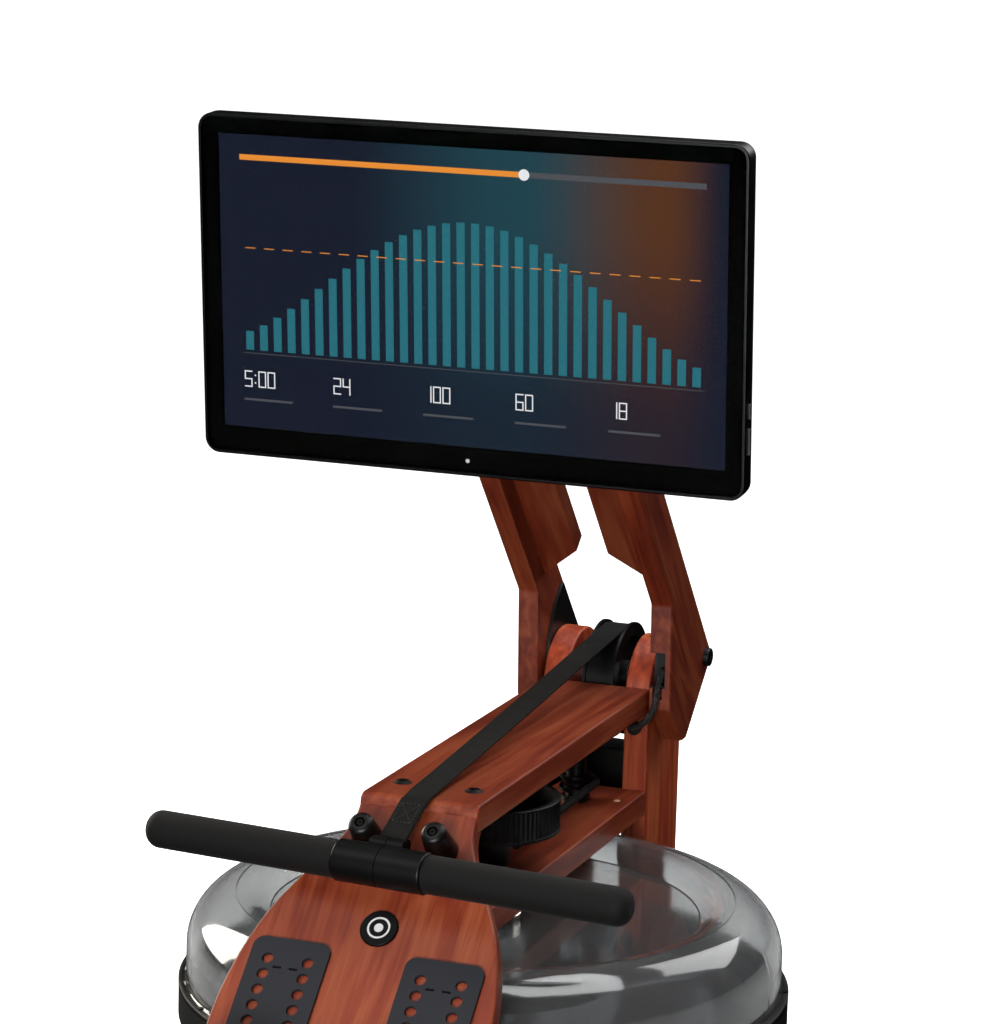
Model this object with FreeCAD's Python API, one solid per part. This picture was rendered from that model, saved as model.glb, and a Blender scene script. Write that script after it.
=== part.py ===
import FreeCAD, Part
import math
import os

# Water-resistance rowing machine with a folding screen neck.
# Millimetres. +X is the rower's right, +Y the way the rower faces, +Z up, floor at Z 0.
# The model is drawn about the water tank's axis (X 0, Y 0) and moved at export so that
# the origin lies at the middle of the footprint.

V = FreeCAD.Vector
OUT = "parts"
os.makedirs(OUT, exist_ok=True)

# ---- driving dimensions ----
FRONT_Y = 436.0            # front of the transport wheels
REAR_Y = -1684.0           # rear end of the rails
ORIGIN_Y = (FRONT_Y + REAR_Y) / 2

DECK_NEAR = -175.0         # rower's end of the top deck
UP_Y0 = 297.0              # rower's side of the uprights
UP_DEPTH = 108.0
UP_IN = 31.0               # uprights, inner and outer faces
UP_OUT = 56.0
UP_TOP = 513.0
UP_CORNER = 53.9
DECK_TOP = 470.0
BOARD_T = 25.0             # deck boards
DECK_HALF = 56.0
LOWER_TOP = 365.5
LOWER_HALF = 56.0

RAIL_TOP = 166.0           # rail top beside the tank axis
RAIL_SLOPE = 0.028         # rise per mm towards the rear
RAIL_H = 90.0
RAIL_IN = 56.0
RAIL_OUT = 86.0
TRACK_T = 6.0
TRACK_X = (RAIL_IN + RAIL_OUT) / 2
FOOT_H = 12.0
BAR_H = 40.0
BAR_HALF = 170.0
FOOT_X = 148.0
FRONT_BAR_Y = 351.0
REAR_BAR_Y = -1600.0
BAR_W = 62.0

BOARD45_Z = 460.0          # top edge of the sloping footboard's face
FOOTBOARD_T = 18.0
PLATE_IN = 35.0
PLATE_OUT = 107.0
PLATE_TOP = 142.5          # distance down the footboard
PLATE_END = 366.0
HOLE_R = 5.2
HOLE_PITCH = 15.1
HOLE_FIRST = 163.0
HOLE_SPACING = 37.5

TANK_R = 284.0
DOME_R = 277.0
TANK_FLANGE = 255.0
TANK_BOTTOM = 176.0
WALL = 4.0
SHAFT_R = 8.0
FIT = 0.05                 # radial clearance of turning parts
DRUM_R = 67.5
DRUM_Z0 = 400.0
DRUM_Z1 = 431.0
POST_X = 2.0
POST_Y = 240.0

PULLEY_Y = 358.0
PULLEY_Z = 464.0
PULLEY_R = 57.0
HUB_R = 52.4
STRAP_T = 1.6
STRAP_W = 25.0
STRAP_R = 53.8             # middle of the strap round the pulley

PIVOT_Y = 401.0
PIVOT_Z = 484.0
ARM_IN = 59.3
ARM_OUT = 81.0
ARM_LEAN = 41.8            # degrees from upright
KNEE_Y = 285.0
KNEE_Z = 560.0
ARM_TOP_Y = -20.0
FLANGE_IN = 16.0
FLANGE_BACK = 24.4
FLANGE_T = 18.0

SCREEN_Y = -86.4           # middle of the lit area on the glass
SCREEN_Z = 901.7
SCREEN_TILT = 4.5
SCREEN_HALF_W = 257.0
SCREEN_UP = 152.0
SCREEN_DOWN = 160.0
LIT_HALF_W = 238.0
LIT_HALF_H = 134.0
SCREEN_T = 20.0
TILT_Y = -36.0             # tilt hinge pin
TILT_Z = 905.0

HANDLE_Y = -254.0
HANDLE_Z = 430.5
HANDLE_HALF = 234.5
HANDLE_TURN = -5.5          # the handle hangs a little askew on its strap, right end nearer the rower
GRIP_R = 17.0
TUBE_R = 12.5

SEAT_Y = -620.0
SEAT_BASE = 70.0           # half the wheelbase
WHEEL_R = 24.0

C45 = math.sqrt(0.5)


# ---- helpers ----
def write(name, *shapes):
    """One STEP per named sub-part, moved to the model's own origin."""
    shape = shapes[0] if len(shapes) == 1 else Part.makeCompound(list(shapes))
    moved = shape.copy()
    moved.translate(V(0, -ORIGIN_Y, 0))
    moved.exportStep(os.path.join(OUT, name + ".step"))


def box(x0, x1, y0, y1, z0, z1):
    return Part.makeBox(x1 - x0, y1 - y0, z1 - z0, V(x0, y0, z0))


def rod(radius, start, end):
    axis = end.sub(start)
    return Part.makeCylinder(radius, axis.Length, start, axis)


def tube(outer, inner, start, end):
    axis = end.sub(start)
    bore = Part.makeCylinder(inner, axis.Length + 2, start.sub(V(axis).normalize()), axis)
    return rod(outer, start, end).cut(bore)


def mirrored(shape):
    """The same piece on the rower's left."""
    return shape.mirror(V(0, 0, 0), V(1, 0, 0))


def both(shape):
    return [shape, mirrored(shape)]


def rounded_loop(corners, place):
    """Closed wire through corners (a, b, radius), each rounded by a tangent arc."""
    edges = []
    starts = []
    count = len(corners)
    for i in range(count):
        a, b, radius = corners[i]
        here = V(a, b, 0)
        before = V(corners[i - 1][0], corners[i - 1][1], 0)
        after = V(corners[(i + 1) % count][0], corners[(i + 1) % count][1], 0)
        to_before = before.sub(here).normalize()
        to_after = after.sub(here).normalize()
        if radius <= 0:
            starts.append((here, None, here))
            continue
        half = to_before.getAngle(to_after) / 2
        reach = radius / math.tan(half)
        middle = V(to_before).add(to_after).normalize()
        middle = here.add(middle.multiply(radius / math.sin(half) - radius))
        starts.append((here.add(V(to_before).multiply(reach)), middle,
                       here.add(V(to_after).multiply(reach))))
    for i in range(count):
        enter, middle, leave = starts[i]
        if middle is not None:
            edges.append(Part.Arc(place(enter), place(middle), place(leave)).toShape())
        following = starts[(i + 1) % count][0]
        if leave.distanceToPoint(following) > 1e-6:
            edges.append(Part.LineSegment(place(leave), place(following)).toShape())
    return Part.Wire(edges)


def slab_x(corners, x0, x1):
    """Outline in Y and Z, extruded from x0 to x1."""
    wire = rounded_loop(corners, lambda p: V(x0, p.x, p.y))
    return Part.Face(wire).extrude(V(x1 - x0, 0, 0))


def slab_z(corners, z0, z1):
    """Outline in X and Y, extruded from z0 to z1."""
    wire = rounded_loop(corners, lambda p: V(p.x, p.y, z0))
    return Part.Face(wire).extrude(V(0, 0, z1 - z0))


def turned(shape, degrees, y, z):
    """Turns a shape drawn at the origin about X and carries it to (0, y, z)."""
    result = shape.copy()
    result.rotate(V(0, 0, 0), V(1, 0, 0), degrees)
    result.translate(V(0, y, z))
    return result


def on_board(shape):
    """Local X across, Y up the footboard, Z off its face."""
    return turned(shape, 45.0, DECK_NEAR, BOARD45_Z)


def on_screen(shape):
    """Local X across, Y up the screen, Z off the glass."""
    return turned(shape, 90.0 + SCREEN_TILT, SCREEN_Y, SCREEN_Z)


def on_arm(shape):
    """Local X across, Y up the neck from the knee, Z towards the rower."""
    return turned(shape, 90.0 + ARM_LEAN, KNEE_Y, KNEE_Z)


def revolved(points):
    """Closed profile of (radius, z) lines and ('arc', via, end) turned about the tank axis."""
    edges = []
    last = points[0]
    for item in points[1:] + [points[0]]:
        if len(item) == 3:
            via, end = item[1], item[2]
            edges.append(Part.Arc(V(last[0], 0, last[1]), V(via[0], 0, via[1]),
                                  V(end[0], 0, end[1])).toShape())
            last = end
        else:
            edges.append(Part.LineSegment(V(last[0], 0, last[1]),
                                          V(item[0], 0, item[1])).toShape())
            last = item
    face = Part.Face(Part.Wire(edges))
    return face.revolve(V(0, 0, 0), V(0, 0, 1), 360)


def softened(shape, radius, pick):
    """Rounds the edges that pick() accepts."""
    edges = [edge for edge in shape.Edges if pick(edge)]
    return shape.makeFillet(radius, edges)


def along(edge, direction):
    """True for a straight edge that runs along the direction."""
    if not isinstance(edge.Curve, Part.Line):
        return False
    run = edge.Vertexes[-1].Point.sub(edge.Vertexes[0].Point)
    return run.Length > 1 and abs(run.normalize().dot(direction)) > 0.999


def rail_top(y):
    return RAIL_TOP - RAIL_SLOPE * y


def cord(points, diameter, label):
    """A tube along straight runs joined by tangent arcs of 0.45 of the shorter run."""
    edges = []
    here = points[0]
    radii = []
    for i in range(1, len(points) - 1):
        corner = points[i]
        back = points[i - 1].sub(corner)
        ahead = points[i + 1].sub(corner)
        turn = math.pi - back.getAngle(ahead)
        reach = 0.45 * min(back.Length, ahead.Length)
        radius = reach / math.tan(turn / 2)
        radii.append(round(radius, 1))
        unit_back = V(back).normalize()
        unit_ahead = V(ahead).normalize()
        enter = corner.add(V(unit_back).multiply(reach))
        leave = corner.add(V(unit_ahead).multiply(reach))
        inward = V(unit_back).add(unit_ahead).normalize()
        depth = radius / math.cos(turn / 2) - radius
        edges.append(Part.LineSegment(here, enter).toShape())
        edges.append(Part.Arc(enter, corner.add(inward.multiply(depth)), leave).toShape())
        here = leave
    edges.append(Part.LineSegment(here, points[-1]).toShape())
    path = Part.Wire(edges)
    start_dir = points[1].sub(points[0])
    ring = Part.Wire([Part.makeCircle(diameter / 2, points[0], start_dir)])
    solid = path.makePipeShell([ring], True, False)
    expected = path.Length * math.pi * diameter ** 2 / 4
    print(label, "radii", radii, "length", round(path.Length, 1),
          "volume ratio", round(solid.Volume / expected, 4))
    return solid


# ---- wooden frame ----
def make_rails():
    front = UP_Y0 + UP_DEPTH
    nose = 30.0
    corners = [(front, rail_top(front), 0), (front, rail_top(front) - RAIL_H, 12),
               (REAR_Y, rail_top(REAR_Y) - RAIL_H, nose), (REAR_Y, rail_top(REAR_Y), 12)]
    rail = slab_x(corners, RAIL_IN, RAIL_OUT)
    write("rails", *both(rail))


def make_tracks():
    y0, y1 = -1666.0, -500.0
    profile = [(y0, rail_top(y0), 0), (y1, rail_top(y1), 0),
               (y1, rail_top(y1) + TRACK_T, 4), (y0, rail_top(y0) + TRACK_T, 4)]
    write("seat_tracks", *both(slab_x(profile, RAIL_IN + 3, RAIL_OUT - 3)))


def make_uprights():
    y1 = UP_Y0 + UP_DEPTH
    profile = [(UP_Y0, FOOT_H + BAR_H, 0), (y1, FOOT_H + BAR_H, 0),
               (y1, UP_TOP, UP_CORNER), (UP_Y0, UP_TOP, UP_CORNER)]
    upright = slab_x(profile, UP_IN, UP_OUT)
    upright = softened(upright, 2.0, lambda e: e.BoundBox.ZMin > 300 and e.BoundBox.XLength < 0.01)
    write("uprights", *both(upright))


def make_decks():
    top = slab_x([(DECK_NEAR, DECK_TOP - BOARD_T, 0), (UP_Y0, DECK_TOP - BOARD_T, 0),
                  (UP_Y0, DECK_TOP, 0), (DECK_NEAR, DECK_TOP, 9)], -DECK_HALF, DECK_HALF)
    top = softened(top, 2.5, lambda e: along(e, V(0, 1, 0)))
    for x in (-34, 34):
        top = top.cut(rod(3.0, V(x, -128, DECK_TOP - 18), V(x, -128, DECK_TOP + 1)))
    write("top_deck", top)
    low = LOWER_TOP - BOARD_T
    meets = DECK_NEAR - (BOARD45_Z - LOWER_TOP) + FOOTBOARD_T / C45
    deck = slab_x([(meets, LOWER_TOP, 0), (meets - BOARD_T, low, 0), (UP_Y0, low, 0),
                   (UP_Y0, LOWER_TOP, 0)], -LOWER_HALF, LOWER_HALF)
    deck = deck.cut(rod(12, V(0, 0, low - 1), V(0, 0, LOWER_TOP + 1)))
    deck = softened(deck, 2.0, lambda e: along(e, V(0, 1, 0)))
    write("lower_deck", deck)


# distance down the footboard and half its width there
BOARD_STATIONS = [(0, 56), (22, 58.5), (40, 66), (60, 77.5), (80, 89), (105, 102), (135, 113.5),
                  (165, 121), (200, 126), (240, 127), (290, 124), (330, 117), (360, 106)]


def make_footboard():
    right = [V(w, -s, -FOOTBOARD_T) for s, w in BOARD_STATIONS]
    left = [V(-p.x, p.y, p.z) for p in reversed(right)]
    shoulder, tongue_end, tongue = 370.0, 432.0, 55.5
    side = Part.BSplineCurve()
    side.interpolate(right)
    other = Part.BSplineCurve()
    other.interpolate(left)
    run = [right[-1], V(92, -shoulder, -FOOTBOARD_T), V(tongue, -shoulder, -FOOTBOARD_T),
           V(tongue, -tongue_end, -FOOTBOARD_T), V(-tongue, -tongue_end, -FOOTBOARD_T),
           V(-tongue, -shoulder, -FOOTBOARD_T), V(-92, -shoulder, -FOOTBOARD_T), left[0]]
    edges = [side.toShape()]
    edges += [Part.LineSegment(run[i], run[i + 1]).toShape() for i in range(len(run) - 1)]
    edges.append(other.toShape())
    edges.append(Part.LineSegment(left[-1], right[0]).toShape())
    board = Part.Face(Part.Wire(edges)).extrude(V(0, 0, FOOTBOARD_T))
    board = softened(board, 2.5, lambda e: isinstance(e.Curve, Part.BSplineCurve)
                     and e.BoundBox.ZMin > -1)
    for x in (31.0, 111.0):
        for sign in (-1, 1):
            slot = box(sign * x - 2.0, sign * x + 2.0, -306, -264, -30, 10)
            board = board.cut(slot)
    board = on_board(board)
    board = board.cut(box(-60, 60, DECK_NEAR, 0, DECK_TOP - BOARD_T, 500))
    write("footboard", board)


def make_legs_and_bars():
    y0, y1 = REAR_BAR_Y - 40, REAR_BAR_Y + 40
    top = rail_top(REAR_BAR_Y) - 8
    leg = slab_x([(y0, FOOT_H + BAR_H, 0), (y1, FOOT_H + BAR_H, 0), (y1, top, 14), (y0, top, 14)],
                 RAIL_OUT, RAIL_OUT + 26)
    write("rear_legs", *both(leg))
    bars = []
    for y in (FRONT_BAR_Y, REAR_BAR_Y):
        half = BAR_W / 2
        z0, z1 = FOOT_H, FOOT_H + BAR_H
        bar = slab_z([(-BAR_HALF, y - half, 10), (BAR_HALF, y - half, 10),
                      (BAR_HALF, y + half, 10), (-BAR_HALF, y + half, 10)], z0, z1)
        bars.append(bar)
    write("foot_bars", *bars)
    feet = []
    for y in (FRONT_BAR_Y, REAR_BAR_Y):
        for x in (-FOOT_X, FOOT_X):
            foot = Part.makeCone(17.0, 19.0, FOOT_H, V(x, y, 0))
            feet.append(foot)
    write("rubber_feet", *feet)


def make_castors():
    z = 46.0
    y = FRONT_Y - 25.0
    wheel_x = 128.0
    wheels = []
    brackets = []
    face = FRONT_BAR_Y + BAR_W / 2
    for side in (-1, 1):
        x = side * wheel_x
        wheel = tube(25, 5 + FIT, V(x - 9, y, z), V(x + 9, y, z))
        wheels.append(softened(wheel, 3, lambda e: abs(e.Length - 2 * math.pi * 25) < 0.1))
        bracket = box(x - 22, x + 22, face, face + 3, 16, 50)
        for cheek in (x - 14, x + 11):
            arm = slab_x([(face, 22, 0), (y - 4, z - 12, 4), (y + 10, z, 9), (y - 4, z + 10, 4),
                          (face, 50, 0)], cheek, cheek + 3)
            bracket = bracket.fuse(arm)
        bracket = bracket.cut(box(x - 40, x + 40, y - 30, face, 0, 80))
        bracket = bracket.fuse(rod(5, V(x - 16, y, z), V(x + 16, y, z)))
        brackets.append(bracket.removeSplitter())
    write("castor_wheels", *wheels)
    write("castor_brackets", *brackets)


def make_fasteners():
    bolts = []
    for y in (UP_Y0 + 28, UP_Y0 + UP_DEPTH - 28):
        z = rail_top(y) - RAIL_H / 2
        bolts.append(cap_head(V(RAIL_OUT, y, z), V(1, 0, 0), 9, 5))
    for y in (REAR_BAR_Y - 18, REAR_BAR_Y + 18):
        bolts.append(cap_head(V(RAIL_OUT + 26, y, rail_top(y) - 50), V(1, 0, 0), 9, 5))
    everything = []
    for bolt in bolts:
        everything += both(bolt)
    for spot in flange_spots():
        everything.append(Part.makeCylinder(2.8, 2.0, spot.add(V(0, 0, TANK_FLANGE))))
        everything.append(Part.makeCylinder(2.8, 3.0, spot.add(V(0, 0, 215.8))))
    write("bolts", *everything)
    screws = [button_head(V(x, -128, DECK_TOP), V(0, 0, 1), 8.4, 2.2) for x in (-34, 34)]
    screws += [on_board(button_head(V(x, -37, 32.5), V(0, 0, 1), 4.5, 2.6)) for x in (-34, 34)]
    write("button_screws", *screws)


def cap_head(base, axis, radius, height):
    head = Part.makeCylinder(radius, height, base, axis)
    socket = Part.makeCylinder(radius * 0.5, height * 0.6, base.add(V(axis).multiply(height * 0.5)), axis)
    return head.cut(socket)


def button_head(base, axis, radius, height):
    head = Part.makeCone(radius, radius * 0.62, height, base, axis)
    socket = Part.makeCylinder(radius * 0.3, height, base.add(V(axis).multiply(height * 0.45)), axis)
    return head.cut(socket)


# ---- tank and drive ----
def flange_spots():
    """Centres of the bolts round the tank's flange, on the floor."""
    angles = [math.radians(15 + 30 * k) for k in range(12)]
    return [V(280.4 * math.cos(a), 280.4 * math.sin(a), 0) for a in angles]


def make_tank():
    upper = revolved([
        (14.0, 316), (199, 316), ("arc", (212.5, 328.8), (231.5, 334)),
        ("arc", (259.2, 321.2), (273, 288)), (273, 251), (TANK_R, 251), (TANK_R, TANK_FLANGE),
        (281, TANK_FLANGE), ("arc", (278.2, 256.2), (DOME_R, 259)), (DOME_R, 288),
        ("arc", (262, 324), (232, 338)), ("arc", (213.5, 333), (200, 320)), (34, 320), (34, 340),
        (14, 340)])
    for spot in flange_spots():
        upper = upper.cut(Part.makeCylinder(3.0, 10, spot.add(V(0, 0, TANK_FLANGE))))
    write("tank_upper_shell", upper)
    lower = revolved([
        (18, TANK_BOTTOM), (222, TANK_BOTTOM), ("arc", (259.5, 191.5), (275.5, 228)), (275.5, 250.7),
        (271.5, 250.7), (271.5, 229), ("arc", (256.5, 194.3), (221, TANK_BOTTOM + WALL)),
        (18, TANK_BOTTOM + WALL)])
    floor = rod(18, V(0, 0, TANK_BOTTOM), V(0, 0, TANK_BOTTOM + WALL))
    write("tank_lower_shell", lower.fuse(floor).removeSplitter())
    band = revolved([(276, 219), (280, 219), ("arc", (283, 220.3), (TANK_R, 223)), (TANK_R, 250.7),
                     (276, 250.7)])
    write("tank_ring", band)
    baffles = []
    for k in range(4):
        fin = box(150, 246, -2, 2, 191, 246)
        fin.rotate(V(0, 0, 0), V(0, 0, 1), 45 + 90 * k)
        baffles.append(fin)
    write("tank_baffles", *baffles)
    water = revolved([(128, 181), (218, 181), (252, 200), (268, 232), (268, 262), (128, 262)])
    for k in range(4):
        slot = box(149, 247, -2.5, 2.5, 180, 247)
        slot.rotate(V(0, 0, 0), V(0, 0, 1), 45 + 90 * k)
        water = water.cut(slot)
    write("tank_water", water)
    pads = []
    for y in (-150.0, 150.0):
        pad = slab_x([(y - 22, rail_top(y - 22), 0), (y + 22, rail_top(y + 22), 0),
                      (y + 22, TANK_BOTTOM, 0), (y - 22, TANK_BOTTOM, 0)], RAIL_IN + 4, RAIL_OUT - 4)
        pads += both(pad)
    write("tank_pads", *pads)
    plug = Part.makeCylinder(15, 4, V(-95, 120, 320)).fuse(Part.makeCylinder(9, 4, V(-95, 120, 324)))
    write("fill_plug", plug.removeSplitter())
    bearings = [tube(14, SHAFT_R + FIT, V(0, 0, 322), V(0, 0, 338)),
                tube(18, SHAFT_R + FIT, V(0, 0, TANK_BOTTOM + WALL), V(0, 0, 189))]
    write("shaft_bearings", *bearings)


def make_paddle():
    paddle = rod(SHAFT_R, V(0, 0, TANK_BOTTOM + WALL + 0.5), V(0, 0, 441))
    paddle = paddle.fuse(rod(16, V(0, 0, 192), V(0, 0, 254)))
    for k in range(6):
        blade = box(14, 118, -1.6, 1.6, 194, 250)
        blade.rotate(V(0, 0, 0), V(0, 0, 1), 60 * k)
        paddle = paddle.fuse(blade)
    write("paddle", paddle.removeSplitter())


def make_drum():
    rim = 2.4
    drum = rod(DRUM_R - 1.4, V(0, 0, DRUM_Z0), V(0, 0, DRUM_Z1))
    drum = drum.fuse(rod(DRUM_R, V(0, 0, DRUM_Z0), V(0, 0, DRUM_Z0 + rim)))
    drum = drum.fuse(rod(DRUM_R, V(0, 0, DRUM_Z1 - rim), V(0, 0, DRUM_Z1)))
    drum = drum.cut(tube(DRUM_R - 6, 24, V(0, 0, DRUM_Z0 + 4), V(0, 0, DRUM_Z1 + 1)))
    drum = drum.fuse(rod(22, V(0, 0, LOWER_TOP + 1.5), V(0, 0, DRUM_Z0)))
    drum = drum.cut(rod(SHAFT_R + FIT, V(0, 0, 300), V(0, 0, 500)))
    write("drive_drum", drum.removeSplitter())


def make_pulley():
    outer = PULLEY_R
    width = 16.5
    rim = 3.0
    start, end = V(-width, PULLEY_Y, PULLEY_Z), V(width, PULLEY_Y, PULLEY_Z)
    pulley = tube(outer, SHAFT_R + FIT, start, end)
    groove = tube(outer + 5, HUB_R, V(rim - width, PULLEY_Y, PULLEY_Z), V(width - rim, PULLEY_Y, PULLEY_Z))
    pulley = pulley.cut(groove)
    for x in (-width, width - 5):
        dish = tube(44, 18, V(x, PULLEY_Y, PULLEY_Z), V(x + 5, PULLEY_Y, PULLEY_Z))
        pulley = pulley.cut(dish)
    write("top_pulley", pulley)
    axle = rod(SHAFT_R, V(-UP_IN, PULLEY_Y, PULLEY_Z), V(UP_IN, PULLEY_Y, PULLEY_Z))
    for x0, x1 in ((-UP_IN, -18.5), (18.5, UP_IN)):
        axle = axle.fuse(rod(13, V(x0, PULLEY_Y, PULLEY_Z), V(x1, PULLEY_Y, PULLEY_Z)))
    write("pulley_axle", axle.removeSplitter())


def strap_tangent(edge_y, edge_z):
    """Where the strap's straight run from the deck edge meets the pulley."""
    dy, dz = PULLEY_Y - edge_y, PULLEY_Z - edge_z
    distance = math.hypot(dy, dz)
    aim = math.atan2(dz, dy) + math.asin(STRAP_R / distance)
    reach = math.sqrt(distance ** 2 - STRAP_R ** 2)
    return edge_y + reach * math.cos(aim), edge_z + reach * math.sin(aim), aim


def make_strap():
    half = STRAP_T / 2
    edge_y, edge_z = -178.0, 473.2
    ty, tz, aim = strap_tangent(edge_y, edge_z)
    end_y, end_z = HANDLE_Y + 15.0, HANDLE_Z + 15.5
    drop = math.atan2(edge_z - end_z, edge_y - end_y)
    bend = (aim + drop) / 2
    lift = half / math.cos((aim - drop) / 2)
    corner = (edge_y, edge_z)
    above = [(end_y - half * math.sin(drop), end_z + half * math.cos(drop), 0),
             (corner[0] - lift * math.sin(bend), corner[1] + lift * math.cos(bend), 12),
             (ty - half * math.sin(aim), tz + half * math.cos(aim), 0)]
    below = [(ty + half * math.sin(aim), tz - half * math.cos(aim), 0),
             (corner[0] + lift * math.sin(bend), corner[1] - lift * math.cos(bend), 10),
             (end_y + half * math.sin(drop), end_z - half * math.cos(drop), 0)]
    write("pull_strap", slab_x(above + below, -STRAP_W / 2, STRAP_W / 2))
    # round the pulley, then a quarter twist down to the drum
    face = Part.Face(Part.makePolygon([
        V(-STRAP_W / 2, ty - half * math.sin(aim), tz + half * math.cos(aim)),
        V(STRAP_W / 2, ty - half * math.sin(aim), tz + half * math.cos(aim)),
        V(STRAP_W / 2, ty + half * math.sin(aim), tz - half * math.cos(aim)),
        V(-STRAP_W / 2, ty + half * math.sin(aim), tz - half * math.cos(aim)),
        V(-STRAP_W / 2, ty - half * math.sin(aim), tz + half * math.cos(aim))]))
    wrap = face.revolve(V(0, PULLEY_Y, PULLEY_Z), V(-1, 0, 0), 180 + math.degrees(aim))
    start = V(0, PULLEY_Y - 30, PULLEY_Z - STRAP_R)
    finish = V(-(DRUM_R + 0.7 + half), 0, (DRUM_Z0 + DRUM_Z1) / 2)
    straight = box(-STRAP_W / 2, STRAP_W / 2, start.y, PULLEY_Y, start.z - half, start.z + half)
    sections = []
    for y in (start.y, 300, 270, 240, 205, 170, 130, 65, 0):
        t = (start.y - y) / start.y
        middle = start.add(finish.sub(start).multiply(t))
        angle = math.radians(min(90.0, 90 * (start.y - y) / (start.y - 130)))
        wide = V(math.cos(angle), 0, math.sin(angle)).multiply(STRAP_W / 2)
        thick = V(-math.sin(angle), 0, math.cos(angle)).multiply(half)
        ring = [middle.add(wide).add(thick), middle.sub(wide).add(thick),
                middle.sub(wide).sub(thick), middle.add(wide).sub(thick)]
        sections.append(Part.makePolygon(ring + [ring[0]]))
    twist = Part.makeLoft(sections, True, True)
    write("drum_strap", wrap.fuse(straight).fuse(twist).removeSplitter())


def make_bungee():
    z = 384.0
    post = rod(10, V(POST_X, POST_Y, LOWER_TOP), V(POST_X, POST_Y, DECK_TOP - BOARD_T))
    post = post.fuse(rod(14, V(POST_X, POST_Y, LOWER_TOP), V(POST_X, POST_Y, LOWER_TOP + 5)))
    anchor_peg = rod(5, V(-43, -126.5, LOWER_TOP), V(-43, -126.5, z + 8))
    write("guide_posts", post.removeSplitter(), anchor_peg)
    roller = tube(16.5, 10 + FIT, V(POST_X, POST_Y, z - 8), V(POST_X, POST_Y, z + 8))
    groove = Part.makeTorus(20.0, 5.6, V(POST_X, POST_Y, z), V(0, 0, 1))
    write("bungee_roller", roller.cut(groove))
    reach = 20.0
    start = V(27.0, 4, z)
    anchor = V(-42, -118, z)
    left = V(POST_X - reach, POST_Y - 6, z)
    right = V(POST_X + reach, POST_Y - 6, z)
    top = V(POST_X, POST_Y + reach, z)
    into = V(right.x, POST_Y, z)
    out = V(left.x, POST_Y, z)
    path = Part.Wire([Part.LineSegment(start, right).toShape(),
                      Part.LineSegment(right, into).toShape(),
                      Part.Arc(into, top, out).toShape(),
                      Part.LineSegment(out, left).toShape(),
                      Part.LineSegment(left, anchor).toShape()])
    ring = Part.Wire([Part.makeCircle(4, start, right.sub(start))])
    shell = path.makePipeShell([ring], True, False, 2)
    print("bungee length", round(path.Length, 1),
          "volume ratio", round(shell.Volume / (path.Length * math.pi * 16), 4))
    write("bungee_cord", shell)


def make_sensor_box():
    box_shape = box(-UP_IN, UP_IN, 357, 400, 346, 389)
    write("sensor_box", softened(box_shape, 3, lambda e: along(e, V(1, 0, 0))))


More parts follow.
